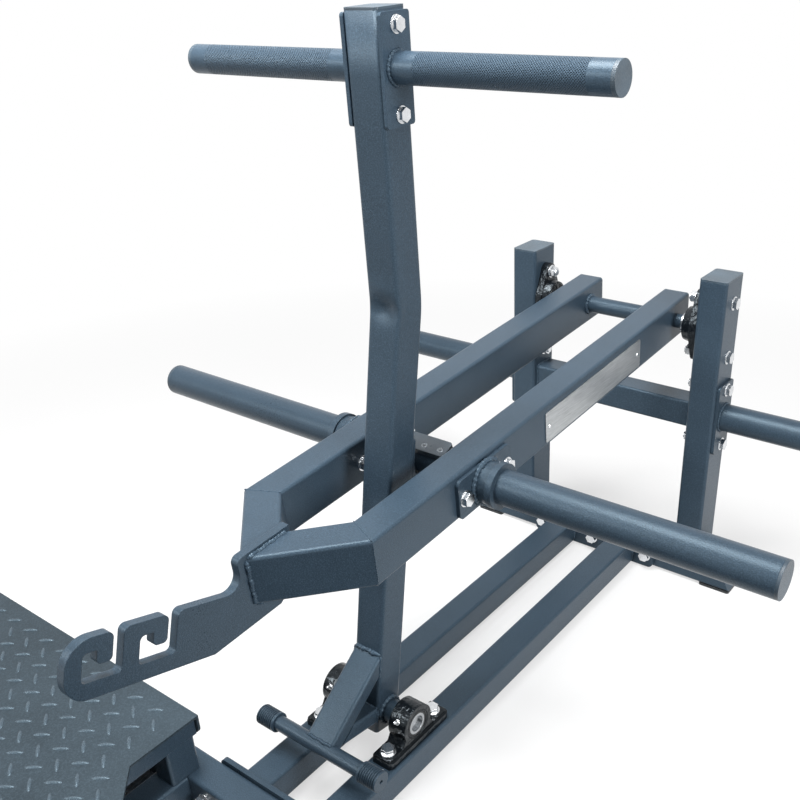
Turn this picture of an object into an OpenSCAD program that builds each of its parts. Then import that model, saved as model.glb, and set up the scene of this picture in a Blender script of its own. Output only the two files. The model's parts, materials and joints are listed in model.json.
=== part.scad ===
// Belt squat machine: a lever arm on flange bearings, an upright with handles
// and a foot bar on pillow blocks, a welded base and a tread plate platform.
// X points to the right hand of a user on the platform who faces the posts, Y to
// the rear posts, Z up. The origin is on the floor, at the middle of the footprint.

/* [Tubes] */
// Wall of the box tubes
tube_wall = 3; // [2:0.5:5]
// Outer corner radius of the box tubes
tube_corner = 5; // [4:0.5:8]
// Narrow side of the posts and the lever beams
beam_w = 50; // [40:1:60]
// Tall side of the posts and the lever beams
beam_h = 70; // [60:1:90]
// Side of the square tubes in the base
base_box = 50; // [40:1:60]
// Side of the upright's square tube
upright_box = 50; // [40:1:56]

/* [Base] */
// Thickness of the rubber floor pads
pad_t = 5; // [3:0.5:12]
// Depth of the rear foot beam, front to back
foot_depth = 100; // [90:1:140]
// Half length of the rear foot beam along the floor
foot_half = 289; // [250:1:400]
// How far the foot beam's ends slope back at the top
foot_bevel = 24; // [5:1:40]
// Front face of the rear foot beam, ahead of the post centres
foot_front = 58; // [46:1:70]
// Distance between the centres of the rear posts
post_span = 376; // [350:1:500]
// Height of the post tops above the floor
post_top = 590; // [565:1:700]
// Thickness of the caps on posts and upright
cap_t = 3; // [2:0.5:6]
// Height of the cross beam and of the storage horns
store_z = 332; // [250:1:360]
// Distance between the centres of the base rails
rail_span = 133; // [120:1:150]
// Length of the base rails between their end plates
rail_len = 862; // [830:1:950]
// Half width of the rails' end plates
flange_half = 135; // [132:1:145]
// Thickness of the rails' end plates
flange_t = 8; // [6:1:12]
// How far the end plates stand above the rails
flange_rise = 6; // [2:1:12]
// Centre of the outer end plate bolts, from the middle
flange_bolt_x = 118; // [110:1:120]

/* [Platform] */
// Height of the tread surface
deck_z = 150; // [130:1:200]
// Thickness of the tread plate
deck_t = 4; // [3:0.5:6]
// Half width of the platform
deck_half = 740; // [600:1:900]
// Depth of the platform, front to back
deck_depth = 558; // [500:1:700]
// How far the tread plate overhangs the front cross beam's rear face
deck_back = 14; // [8:1:24]
// Half width of the cut-out where it opens to the rear
gap_half = 147; // [140:1:160]
// Straight depth of the cut-out before it narrows
gap_straight = 117; // [80:1:140]
// Half width of the cut-out at its closed end
gap_end_half = 50; // [30:1:80]
// Depth of the folded lip along the rear edge
lip_h = 36; // [20:1:40]
// Side of the square tubes under the tread plate
frame_box = 30; // [25:1:34]
// How far the frame sits in from the cut-out's edge
frame_inset = 5; // [2:1:12]
// Inner face of the side beams that carry the platform
side_x = 150; // [145:1:180]

/* [Lever] */
// Height of the lever pivot above the floor
pivot_z = 496; // [480:1:520]
// Downward slope of the lever at rest, in degrees
lever_pitch = 3.7; // [2:0.1:5]
// Outer faces of the lever beams, from the middle
lever_half = 113; // [108:1:118]
// Length of the lever beams behind the pivot
lever_tail = 45; // [40:1:60]
// Distance from the pivot to the outer mitre corner
mitre_u = 832; // [800:1:860]
// Thickness of the hook plate
hook_t = 12; // [8:1:16]
// Height of the hook plate above the lever's centre line
hook_top = 41; // [37:1:50]
// Depth of the hook plate below the lever's centre line
hook_low = 59; // [50:1:70]
// Front edge of the hook plate's tall part, from the pivot
hook_front = 952; // [945:1:975]
// Upward slope of the hooked bar against the lever, in degrees
bar_tilt = 21; // [10:1:26]
// Height of the hooked bar
bar_h = 72; // [66:1:84]
// Height of the notch floor above the bar's lower edge
notch_floor = 20; // [16:1:24]
// Width of a notch
notch_w = 49.5; // [46:0.5:52]
// Width of the open slot that leads into a notch
notch_slot = 13; // [11:0.5:15]
// Width of the lip that closes a notch
notch_lip = 19; // [16:0.5:20]
// Thickness of the hook above the notch
hook_crown = 17; // [12:1:20]
// Height of a lip's lower end above the bar's lower edge
lip_low = 38; // [36:1:42]
// Distance between the two notches
notch_pitch = 70.5; // [68:0.5:76]
// Thickness of the hook's tip, beyond the outer notch
hook_tip = 20; // [17:1:26]
// Distance from the pivot to the weight horns
horn_u = 606; // [590:1:620]
// Drop of the weight horns below the lever's centre line
horn_drop = 3; // [0:0.5:5]
// Distance from the pivot to the cross tube
cross_u = 600; // [594:1:606]
// Diameter of the cross tube
cross_d = 42; // [36:1:46]

/* [Horns and handles] */
// Diameter of the weight and storage horns
horn_d = 50; // [48:0.5:52]
// Wall of the horn tubes
horn_wall = 4; // [3:0.5:6]
// Tip of the weight horns, from the middle
horn_tip = 533; // [480:1:580]
// Tip of the storage horns, from the middle
store_tip = 600; // [560:1:660]
// Distance from a horn's bolts to the ends of its flange plate
horn_plate_edge = 13; // [11:0.5:20]
// Height of a horn's flange plate
horn_plate_h = 60; // [56:1:66]
// Thickness of a horn's flange plate
horn_plate_t = 6; // [5:0.5:10]
// Distance between the bolts of a weight horn
horn_bolt_span = 98; // [94:1:100]
// Distance between the bolts of a storage horn
store_bolt_span = 108; // [100:1:110]
// Diameter of the sleeve welded to the flange plate
sleeve_d = 60; // [56:1:64]
// Length of the sleeve
sleeve_l = 19; // [12:1:30]
// Diameter of the collar that stops the weight plates
collar_d = 66; // [62:1:76]
// Thickness of the collar
collar_t = 10; // [6:1:14]
// Diameter of the handles
handle_d = 36; // [30:1:40]
// Tip of the handles, from the middle
handle_tip = 313; // [280:1:360]
// Distance of the handles' axis below the upright's top
handle_drop = 63.5; // [63:0.5:90]
// Length of the handle end caps
handle_cap_l = 5; // [3:0.5:30]
// Height of the handle plates
head_plate_h = 122; // [114:1:126]
// Drop of the handle plates' middle below the handles
head_plate_drop = 2.5; // [0:0.5:6]
// Thickness of the handle plates
head_plate_t = 5; // [4:0.5:8]
// Distance between the handle plate bolts
head_bolt_span = 95; // [88:1:98]

/* [Upright] */
// Distance of the upright's pivot ahead of the rear posts
upright_y = 737; // [730:1:745]
// Rearward lean of the lower part, in degrees
upright_lean = 10; // [8:0.5:12]
// Bend between the lower and the upper part, in degrees
upright_bend = 11; // [6:0.5:14]
// Radius of the bend's centre line
bend_r = 150; // [120:5:400]
// Distance from the pivot to the bend corner
bend_up = 608; // [580:1:640]
// Distance from the bend corner to the top
upper_len = 351; // [340:1:400]
// Length of the upright below its pivot
upright_tail = 32; // [28:1:34]
// Forward reach of the foot bar from the pivot, along the upright's own axes
bar_reach = 122.5; // [115:0.5:130]
// Drop of the foot bar below the pivot, along the upright's own axes
bar_drop = 13; // [8:0.5:15]
// Diameter of the foot bar between its grips
foot_bar_d = 23; // [16:1:25]
// Diameter of the grooved foot grips
grip_d = 31; // [28:1:32]
// Length of a foot grip
grip_l = 34; // [24:1:40]
// Half length of the foot bar
foot_bar_half = 116; // [106:1:130]
// Thickness of the foot lever's flat tubes
lever_tube_t = 25; // [20:1:30]
// Height above the pivot where the foot lever's top meets the upright
foot_lever_top = 102; // [92:1:112]
// Slope of the foot lever, from square to the upright, in degrees
foot_slope = 46.2; // [45:0.2:50]
// Gap that the cross tube keeps to the catch
catch_gap = 0.3; // [0.2:0.1:0.5]
// Thickness of the catch blade
blade_t = 16; // [10:1:24]
// Length of the rest pad on the cross tube
rest_l = 110; // [96:1:116]
// Width of the rest pad
rest_w = 29; // [24:1:34]
// Thickness of the rest pad
rest_t = 12; // [10:1:16]

/* [Bearings and fasteners] */
// Diameter of both pivot shafts where they run in the bearings
shaft_d = 25; // [20:1:27]
// Outer diameter of the bearing inner rings
ring_d = 34; // [32:1:38]
// Running clearance of an inner ring, on the radius
ring_fit = 0.05; // [0.02:0.01:0.1]
// Width of the inner rings
ring_w = 34; // [30:1:36]
// Narrow side of an inner ring, from the bearing's centre plane
ring_short = 14.3; // [13:0.1:15]
// Height of the pillow block centre above its foot
pillow_h = 36.5; // [34:0.5:40]
// Distance between the pillow block bolts
pillow_bolt_span = 105; // [100:1:115]
// Distance between the flange bearing bolts
bearing_bolt_span = 99; // [94:1:110]
// Diameter of the frame bolts
bolt_d = 12; // [10:1:14]
// Clearance of the bolt holes, on the diameter
bolt_play = 1; // [0.5:0.1:2]
// Diameter of the handle bolts
head_bolt_d = 10; // [8:1:10]

/* [Hidden] */
$fn = 48;

sides = [-1, 1];
// Paint of the steel parts, and the other finishes
paint = [0.27, 0.33, 0.38];
plate_paint = [0.22, 0.27, 0.31];
casting = [0.05, 0.05, 0.06];
zinc = [0.78, 0.80, 0.82];
rubber = [0.08, 0.08, 0.08];
brushed = [0.70, 0.72, 0.73];

// Levels and faces of the base
base_z0 = pad_t;
base_z1 = pad_t + base_box;
// The posts' centre plane, so that the footprint is centred on the origin
front_reach = foot_front + 2 * flange_t + rail_len + deck_back + deck_depth;
tail_reach = (lever_tail + cap_t) * cos(lever_pitch) + beam_h / 2 * sin(lever_pitch);
post_y = (front_reach - max(tail_reach, foot_depth - foot_front)) / 2;
foot_y0 = post_y - foot_front;
foot_y1 = foot_y0 + foot_depth;
rail_x = rail_span / 2;
rail_y1 = foot_y0 - flange_t;
rail_y0 = rail_y1 - rail_len;
cross_y1 = rail_y0 - flange_t;
cross_y0 = cross_y1 - base_box;
flange_h = base_box + flange_rise;
flange_bolt_z = base_z0 + base_box / 2;
post_x = post_span / 2;
post_in = post_x - beam_w / 2;
post_out = post_x + beam_w / 2;
store_bolt_z = store_bolt_span / 2;

// Platform
deck_y1 = cross_y1 - deck_back;
deck_y0 = deck_y1 - deck_depth;
deck_low = deck_z - deck_t;
gap_end_y = deck_y1 - gap_straight - gap_half + gap_end_half;
frame_z0 = deck_low - frame_box;
frame_in = gap_half + frame_inset;
frame_out = deck_half - 4;
frame_y1 = deck_y1 - deck_t - 1;
frame_y0 = deck_y0 + 4;
frame_mid = (frame_in + frame_out) / 2;
middle_y1 = gap_end_y - frame_inset;
foot_beam_y0 = deck_y0 + 2;
front_half = deck_half - 20;
leg_d = 50;
leg_w = 40;
pad_l = 60;

// Fasteners
hole_d = bolt_d + bolt_play;
head_hole_d = head_bolt_d + bolt_play;
washer_t = 2;

// Bearings
bearing_centre = 16;
bearing_depth = 27;
bearing_flange_t = 13;
bearing_r = 34;
bearing_ear_r = 15.5;
bearing_x = post_in - bearing_centre;
pillow_w = 38;
pillow_foot_t = 14;
pillow_end = 17.5;
pillow_r = 31;
pillow_seal_d = 46;
pillow_body_w = 31;
foot_pivot_y = post_y - upright_y;
upright_z = base_z1 + pillow_h;
ring_long = ring_w - ring_short;
shaft_recess = 5;
ring_bore = shaft_d + 0.04;
housing_bore = ring_d + 2 * ring_fit;

// Lever
lever_in = lever_half - beam_w;
mitre_in_u = mitre_u - beam_w * tan(22.5);
hook_back = mitre_in_u + lever_in - hook_t / 2 - 3;
bar_root = hook_front + 59;
notch_x0 = 60;
bar_len = notch_x0 + notch_pitch + notch_w + hook_tip;
bar_round = 31;
notch_r = 6;
mouth_r = 8;
neck_r = 18;
crest_r = 9;
sleeve_x = lever_half + horn_plate_t;
horn_cap_t = 4;
plug_l = 8;
pad_tilt = 20 - lever_pitch;
rest_top = 29.5;
rest_shift = 4;
screw_d = 5;
rivet_span = 280;
rivet_edge = 10;
nameplate_l = rivet_span + 2 * rivet_edge;
nameplate_h = 50;
nameplate_t = 1.5;
nameplate_u = 293;
rivet_d = 4;
shaft_body_d = 30;
// A block larger than anything that it cuts
cut = 2 * deck_half;

// Upright
handle_up = upper_len - handle_drop;
bend_tangent = bend_r * tan(upright_bend / 2);
bend_start = bend_up - bend_tangent;
boss_d = 36;
head_plate_round = 4;
foot_bar_along = (bar_reach - upright_box / 2) * cos(foot_slope)
    + (foot_lever_top + bar_drop) * sin(foot_slope);
foot_lever_len = foot_bar_along - foot_bar_d / 2 + 7;
strut_top = 11;
// The cross tube's centre as seen from the upright's own axes
tube_dy = upright_y - cross_u * cos(lever_pitch) + horn_drop * sin(lever_pitch);
tube_dz = pivot_z - upright_z - cross_u * sin(lever_pitch) - horn_drop * cos(lever_pitch);
tube_ly = tube_dy * cos(upright_lean) - tube_dz * sin(upright_lean);
tube_lz = tube_dy * sin(upright_lean) + tube_dz * cos(upright_lean);
tube_reach = sqrt(tube_dy * tube_dy + tube_dz * tube_dz);
tube_angle = atan2(tube_ly, tube_lz);
catch_r = tube_reach - cross_d / 2 - catch_gap;
catch_face = upright_box / 2;
catch_plate_t = 6;
catch_plate_w = 44;
catch_end_angle = tube_angle + 3;
catch_end_y = catch_r * sin(catch_end_angle);
catch_end_z = catch_r * cos(catch_end_angle);
shoulder_y = tube_ly - cross_d / 2 - 0.5;
shoulder_z = tube_lz - 7;

// A rectangle with round corners, centred
module round_rect(w, h, r) {
    square([w - 2 * r, h], center = true);
    square([w, h - 2 * r], center = true);
    for (i = sides, j = sides)
        translate([i * (w / 2 - r), j * (h / 2 - r)])
            circle(r);
}

// The outline of a box tube's wall
module box_wall(w, h) {
    difference() {
        round_rect(w, h, tube_corner);
        round_rect(w - 2 * tube_wall, h - 2 * tube_wall, tube_corner - tube_wall);
    }
}

// A box tube along X, w wide along Y and h tall along Z
module tube_x(len, w, h) {
    rotate([90, 0, 90])
        linear_extrude(len)
            box_wall(w, h);
}

// A box tube that starts at Y = 0 and runs forward, w wide along X
module tube_forward(len, w, h) {
    rotate([90, 0, 0])
        linear_extrude(len)
            box_wall(w, h);
}

// A cylinder along X from x0 to x1
module rod_x(d, x0, x1) {
    translate([x0, 0, 0])
        rotate([0, 90, 0])
            cylinder(d = d, h = x1 - x0);
}

// A hex bolt along Z: its head stands on a washer at z = 0, its shank goes down
// through the clamped parts and its nut sits on a washer at their far side
module hex_bolt(d, grip) {
    cylinder(d = 2 * d, h = washer_t);
    translate([0, 0, washer_t])
        cylinder(d = 1.75 * d, h = 0.6 * d, $fn = 6);
    translate([0, 0, -grip - washer_t - 0.8 * d - 3])
        cylinder(d = d, h = grip + washer_t + 0.8 * d + 3 + 0.5);
    translate([0, 0, -grip - washer_t])
        cylinder(d = 2 * d, h = washer_t);
    translate([0, 0, -grip - washer_t - 0.8 * d])
        cylinder(d = 1.75 * d, h = 0.8 * d, $fn = 6);
}

// The lever's own axes: -Y runs along the lever, Z stands square to it
module lever_axes() {
    translate([0, post_y, pivot_z])
        rotate([lever_pitch, 0, 0])
            children();
}

// The upright's own axes: Z runs up along its lower part from its pivot
module upright_axes() {
    translate([0, foot_pivot_y, upright_z])
        rotate([-upright_lean, 0, 0])
            children();
}

// Axes at the bend corner, Z along the upper part, turned about the bend's centre
module head_axes() {
    upright_axes()
        translate([0, -bend_r, bend_start])
            rotate([upright_bend, 0, 0])
                translate([0, bend_r, -bend_tangent])
                    children();
}

// A box tube along X with closed ends, from -half to half
module closed_tube_x(half, w, h) {
    difference() {
        translate([-half, 0, 0])
            rotate([90, 0, 90])
                linear_extrude(2 * half)
                    round_rect(w, h, tube_corner);
        translate([tube_wall - half, 0, 0])
            rotate([90, 0, 90])
                linear_extrude(2 * (half - tube_wall))
                    round_rect(w - 2 * tube_wall, h - 2 * tube_wall, tube_corner - tube_wall);
    }
}

// Base

// The rear foot beam's trapezoid as seen from the front
module foot_profile(m) {
    polygon([
        [m - foot_half, base_z0 + m],
        [foot_half - m, base_z0 + m],
        [foot_half - foot_bevel - m, base_z1 - m],
        [foot_bevel - foot_half + m, base_z1 - m]
    ]);
}

module foot_solid(m) {
    intersection() {
        translate([-foot_half, (foot_y0 + foot_y1) / 2, base_z0 + base_box / 2])
            rotate([90, 0, 90])
                linear_extrude(2 * foot_half)
                    round_rect(foot_depth - 2 * m, base_box - 2 * m, tube_corner - m);
        translate([0, foot_y1 - m, 0])
            rotate([90, 0, 0])
                linear_extrude(foot_depth - 2 * m)
                    foot_profile(m);
    }
}

module rear_foot_beam() {
    color(paint)
        difference() {
            foot_solid(0);
            foot_solid(tube_wall);
            for (x = [-flange_bolt_x, 0, flange_bolt_x])
                translate([x, foot_y0 - 1, flange_bolt_z])
                    rotate([-90, 0, 0])
                        cylinder(d = hole_d, h = tube_wall + 2);
        }
}

module floor_pads() {
    color(rubber)
        for (s = sides) {
            translate([s * (foot_half - pad_l / 2), (foot_y0 + foot_y1) / 2, 0])
                linear_extrude(pad_t)
                    round_rect(pad_l, foot_depth, 5);
            translate([s * (front_half - pad_l / 2), cross_y0 + base_box / 2, 0])
                linear_extrude(pad_t)
                    round_rect(pad_l, base_box, 5);
            translate([s * (front_half - pad_l / 2), foot_beam_y0 + base_box / 2, 0])
                linear_extrude(pad_t)
                    round_rect(pad_l, base_box, 5);
        }
}

module rear_post(s) {
    color(paint)
        difference() {
            translate([s * post_x, post_y, base_z1])
                linear_extrude(post_top - cap_t - base_z1)
                    box_wall(beam_w, beam_h);
            for (z = [pivot_z - bearing_bolt_span / 2, pivot_z + bearing_bolt_span / 2,
                      store_z - store_bolt_z, store_z + store_bolt_z])
                translate([s * post_x, post_y, z])
                    rod_x(hole_d, -beam_w, beam_w);
        }
}

module rear_post_left() {
    rear_post(-1);
}

module rear_post_right() {
    rear_post(1);
}

module post_caps() {
    color(rubber)
        for (s = sides)
            translate([s * post_x, post_y, post_top - cap_t]) {
                linear_extrude(cap_t)
                    round_rect(beam_w, beam_h, tube_corner);
                translate([0, 0, -plug_l])
                    linear_extrude(plug_l)
                        round_rect(beam_w - 2 * tube_wall - 0.2, beam_h - 2 * tube_wall - 0.2, 2);
            }
}

module post_cross_beam() {
    color(paint)
        translate([-post_in, post_y, store_z])
            tube_x(2 * post_in, base_box, base_box);
}

// A plate horn along +X from its flange face at x = 0 to its tip, with or without
// the sleeve and the collar that stop the weight plates
module plate_horn(bolts, along_z, tip, sleeved) {
    shoulder = sleeved ? sleeve_l + collar_t : 0;
    difference() {
        union() {
            rotate([90, 0, 90])
                linear_extrude(horn_plate_t)
                    round_rect(
                        along_z ? horn_plate_h : bolts + 2 * horn_plate_edge,
                        along_z ? bolts + 2 * horn_plate_edge : horn_plate_h, 8);
            if (sleeved) {
                rod_x(sleeve_d, horn_plate_t, horn_plate_t + sleeve_l);
                rod_x(collar_d, horn_plate_t + sleeve_l, horn_plate_t + shoulder);
            }
            rod_x(horn_d, horn_plate_t + shoulder, tip - horn_cap_t);
        }
        rod_x(horn_d - 2 * horn_wall, horn_plate_t, tip);
        for (i = sides)
            translate([0, along_z ? 0 : i * bolts / 2, along_z ? i * bolts / 2 : 0])
                rod_x(hole_d, -1, horn_plate_t + 1);
    }
}

// The plug that closes a horn's end
module horn_plug(tip) {
    rod_x(horn_d, tip - horn_cap_t, tip);
    rod_x(horn_d - 2 * horn_wall - 0.2, tip - horn_cap_t - plug_l, tip - horn_cap_t);
}

module storage_horn_right() {
    color(plate_paint)
        translate([post_out, post_y, store_z])
            plate_horn(store_bolt_span, true, store_tip - post_out, false);
}

module storage_horn_left() {
    mirror([1, 0, 0])
        storage_horn_right();
}

module storage_horn_caps() {
    color(rubber)
        for (m = [0, 1])
            mirror([m, 0, 0])
                translate([post_out, post_y, store_z])
                    horn_plug(store_tip - post_out);
}

module storage_horn_bolts() {
    color(zinc)
        for (s = sides, i = sides)
            translate([s * (post_out + horn_plate_t), post_y, store_z + i * store_bolt_z])
                rotate([0, s * 90, 0])
                    hex_bolt(bolt_d, horn_plate_t + beam_w);
}

// Outline of a two-bolt bearing flange, its bolts along Y
module bearing_outline(span) {
    a = asin((bearing_r - bearing_ear_r) / (span / 2));
    // The straight sides start just inside the round ends
    big = 0.995 * bearing_r;
    small = 0.99 * bearing_ear_r;
    circle(bearing_r);
    for (i = sides) {
        translate([0, i * span / 2])
            circle(bearing_ear_r);
        polygon([
            [big * cos(a), i * big * sin(a)],
            [small * cos(a), i * (span / 2 + small * sin(a))],
            [-small * cos(a), i * (span / 2 + small * sin(a))],
            [-big * cos(a), i * big * sin(a)]
        ]);
    }
}

module bearing_housing_right() {
    color(casting)
        translate([post_in, post_y, pivot_z])
            difference() {
                union() {
                    translate([-bearing_flange_t, 0, 0])
                        rotate([90, 0, 90])
                            linear_extrude(bearing_flange_t)
                                bearing_outline(bearing_bolt_span);
                    translate([-bearing_depth, 0, 0])
                        rotate([0, 90, 0])
                            cylinder(d1 = 60, d2 = 66, h = bearing_depth - bearing_flange_t);
                }
                rod_x(housing_bore, -bearing_depth - 1, 1);
                rod_x(52, -bearing_depth - 1, 1.5 - bearing_depth);
                for (i = sides)
                    translate([0, 0, i * bearing_bolt_span / 2])
                        rod_x(hole_d, -bearing_flange_t - 1, 1);
            }
}

module bearing_housing_left() {
    mirror([1, 0, 0])
        bearing_housing_right();
}

module bearing_bolts() {
    color(zinc)
        for (s = sides, i = sides)
            translate([s * post_out, post_y, pivot_z + i * bearing_bolt_span / 2])
                rotate([0, s * 90, 0])
                    hex_bolt(bolt_d, beam_w + bearing_flange_t);
}

module base_rail(s) {
    color(paint)
        difference() {
            translate([s * rail_x, rail_y1, base_z0 + base_box / 2])
                tube_forward(rail_len, base_box, base_box);
            for (i = sides)
                translate([s * rail_x, foot_pivot_y + i * pillow_bolt_span / 2, base_z1 - tube_wall - 1])
                    cylinder(d = hole_d, h = tube_wall + 2);
        }
}

module base_rail_left() {
    base_rail(-1);
}

module base_rail_right() {
    base_rail(1);
}

// End plate of the rails, its rear face at y1
module flange_plate(y1) {
    difference() {
        translate([0, y1, base_z0 + flange_h / 2])
            rotate([90, 0, 0])
                linear_extrude(flange_t)
                    round_rect(2 * flange_half, flange_h, 10);
        for (x = [-flange_bolt_x, 0, flange_bolt_x])
            translate([x, y1 + 1, flange_bolt_z])
                rotate([90, 0, 0])
                    cylinder(d = hole_d, h = flange_t + 2);
    }
}

module rear_flange_plate() {
    color(plate_paint)
        flange_plate(foot_y0);
}

module front_flange_plate() {
    color(plate_paint)
        flange_plate(rail_y0);
}

module flange_bolts() {
    color(zinc)
        for (x = [-flange_bolt_x, 0, flange_bolt_x]) {
            translate([x, foot_y0 - flange_t, flange_bolt_z])
                rotate([90, 0, 0])
                    hex_bolt(bolt_d, flange_t + tube_wall);
            translate([x, rail_y0, flange_bolt_z])
                rotate([-90, 0, 0])
                    hex_bolt(bolt_d, flange_t + base_box);
        }
}

module front_cross_beam() {
    color(paint)
        difference() {
            translate([0, cross_y0 + base_box / 2, base_z0 + base_box / 2])
                closed_tube_x(front_half, base_box, base_box);
            for (x = [-flange_bolt_x, 0, flange_bolt_x])
                translate([x, cross_y1 + 1, flange_bolt_z])
                    rotate([90, 0, 0])
                        cylinder(d = hole_d, h = base_box + 2);
        }
}

module side_beam(s) {
    color(paint)
        translate([s * (side_x + base_box / 2), cross_y0, base_z0 + base_box / 2])
            tube_forward(cross_y0 - foot_beam_y0 - base_box, base_box, base_box);
}

module side_beam_left() {
    side_beam(-1);
}

module side_beam_right() {
    side_beam(1);
}

module front_foot_beam() {
    color(paint)
        translate([0, foot_beam_y0 + base_box / 2, base_z0 + base_box / 2])
            closed_tube_x(front_half, base_box, base_box);
}

// Platform

module leg(x, y, w, d) {
    translate([x, y, base_z1])
        linear_extrude(frame_z0 - base_z1)
            box_wall(w, d);
}

module platform_legs() {
    color(paint)
        for (s = sides) {
            leg(s * (frame_in + leg_w / 2), frame_y1 - 5 - leg_d / 2, leg_w, leg_d);
            leg(s * (frame_in + leg_w / 2), frame_y0 + frame_box / 2, leg_w, frame_box);
            leg(s * (front_half - leg_w / 2), frame_y1 - frame_box / 2, leg_w, frame_box);
            leg(s * (front_half - leg_w / 2), frame_y0 + frame_box / 2, leg_w, frame_box);
        }
}

// Plan of a side frame's bars, each narrowed by m on both sides
module frame_plan(m) {
    w = frame_box - 2 * m;
    depth = frame_y1 - frame_y0 - 2 * m;
    for (x = [frame_in, frame_mid - frame_box / 2, frame_out - frame_box])
        translate([x + m, frame_y0 + m])
            square([w, depth]);
    for (y = [frame_y0, frame_y1 - frame_box])
        translate([frame_in + m, y + m])
            square([frame_out - frame_in - 2 * m, w]);
}

module platform_frame_right() {
    color(paint)
        difference() {
            translate([0, 0, frame_z0])
                linear_extrude(frame_box)
                    frame_plan(0);
            translate([0, 0, frame_z0 + tube_wall])
                linear_extrude(frame_box - 2 * tube_wall)
                    frame_plan(tube_wall);
        }
}

module platform_frame_left() {
    mirror([1, 0, 0])
        platform_frame_right();
}

// Plan of the middle frame's bars, each narrowed by m on both sides
module middle_plan(m) {
    w = frame_box - 2 * m;
    half = frame_in - m;
    for (y = [frame_y0, middle_y1 - frame_box])
        translate([-half, y + m])
            square([2 * half, w]);
    intersection() {
        for (s = sides)
            translate([s * (gap_end_half + 3), middle_y1 - 3])
                rotate(s * 45)
                    translate([-2 * frame_box, m - frame_box])
                        square([deck_depth, w]);
        translate([-half, middle_y1 - frame_box + m])
            square([2 * half, deck_depth]);
    }
}

module platform_frame_middle() {
    color(paint)
        difference() {
            translate([0, 0, frame_z0])
                linear_extrude(frame_box)
                    middle_plan(0);
            translate([0, 0, frame_z0 + tube_wall])
                linear_extrude(frame_box - 2 * tube_wall)
                    middle_plan(tube_wall);
        }
}

// Folded lip on one side of the cut-out, its lower inner corner rounded
module rear_lip() {
    translate([0, deck_y1, 0])
        rotate([90, 0, 0])
            linear_extrude(deck_t)
                difference() {
                    translate([gap_half, deck_z - lip_h])
                        square([deck_half - gap_half, lip_h]);
                    translate([gap_half, deck_z - lip_h])
                        difference() {
                            square(14);
                            translate([14, 14])
                                circle(14);
                        }
                }
}

module platform_plate() {
    color(plate_paint) {
        translate([0, 0, deck_low])
            linear_extrude(deck_t)
                polygon([
                    [-deck_half, deck_y0],
                    [deck_half, deck_y0],
                    [deck_half, deck_y1],
                    [gap_half, deck_y1],
                    [gap_half, deck_y1 - gap_straight],
                    [gap_end_half, gap_end_y],
                    [-gap_end_half, gap_end_y],
                    [-gap_half, deck_y1 - gap_straight],
                    [-gap_half, deck_y1],
                    [-deck_half, deck_y1]
                ]);
        rear_lip();
        mirror([1, 0, 0])
            rear_lip();
    }
}

// Upright bearings

// A pillow block seen from the side, its shaft centre at the origin
module pillow_outline() {
    half = pillow_bolt_span / 2 + pillow_end;
    circle(pillow_r);
    translate([-half, -pillow_h])
        square([2 * half, pillow_foot_t - 4]);
    translate([2 - half, -pillow_h])
        square([2 * half - 4, pillow_foot_t]);
    polygon([
        [-pillow_r - 5, pillow_foot_t - pillow_h],
        [pillow_r + 5, pillow_foot_t - pillow_h],
        [pillow_r - 4, -8],
        [4 - pillow_r, -8]
    ]);
}

module pillow_block(s) {
    half = pillow_bolt_span / 2 + pillow_end;
    color(casting)
        translate([s * rail_x, foot_pivot_y, upright_z])
            difference() {
                union() {
                    intersection() {
                        rotate([90, 0, 90])
                            linear_extrude(pillow_body_w, center = true)
                                pillow_outline();
                        translate([-50, -half, -pillow_h])
                            cube([100, 2 * half, 100]);
                    }
                    translate([0, 0, -pillow_h])
                        linear_extrude(pillow_foot_t - 4)
                            round_rect(pillow_w, 2 * half, 8);
                }
                rod_x(housing_bore, -pillow_w, pillow_w);
                for (i = sides)
                    rod_x(pillow_seal_d, i * pillow_body_w / 2 - 1.5, i * pillow_body_w / 2 + 1.5);
                for (i = sides)
                    translate([0, i * pillow_bolt_span / 2, -pillow_h - 1])
                        cylinder(d = hole_d, h = pillow_foot_t + 2);
            }
}

module pillow_block_left() {
    pillow_block(-1);
}

module pillow_block_right() {
    pillow_block(1);
}

module pillow_bolts() {
    color(zinc)
        for (s = sides, i = sides)
            translate([s * rail_x, foot_pivot_y + i * pillow_bolt_span / 2, base_z1 + pillow_foot_t])
                hex_bolt(bolt_d, pillow_foot_t + tube_wall);
}

// Lever

// Everything ahead of the mitre between a lever beam and its nose beam
module mitre_front() {
    translate([lever_half, -mitre_u, 0])
        rotate([0, 0, -22.5])
            translate([-cut / 2, -cut, -cut / 2])
                cube(cut);
}

module mitre_rear() {
    translate([lever_half, -mitre_u, 0])
        rotate([0, 0, -22.5])
            translate([-cut / 2, 0, -cut / 2])
                cube(cut);
}

module lever_beam_blank() {
    color(paint)
        lever_axes()
            difference() {
                translate([lever_half - beam_w / 2, lever_tail, 0])
                    tube_forward(lever_tail + mitre_u + 1, beam_w, beam_h);
                mitre_front();
                rod_x(ring_bore, 0, 2 * lever_half);
                for (i = sides)
                    translate([0, i * horn_bolt_span / 2 - horn_u, -horn_drop])
                        rod_x(hole_d, 0, 2 * lever_half);
            }
}

module lever_beam_right() {
    difference() {
        lever_beam_blank();
        lever_axes()
            for (i = sides)
                translate([lever_half - tube_wall - 1, i * rivet_span / 2 - nameplate_u, -horn_drop])
                    rod_x(rivet_d + 0.1, 0, tube_wall + 2);
    }
}

module lever_beam_left() {
    mirror([1, 0, 0])
        lever_beam_blank();
}

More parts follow.
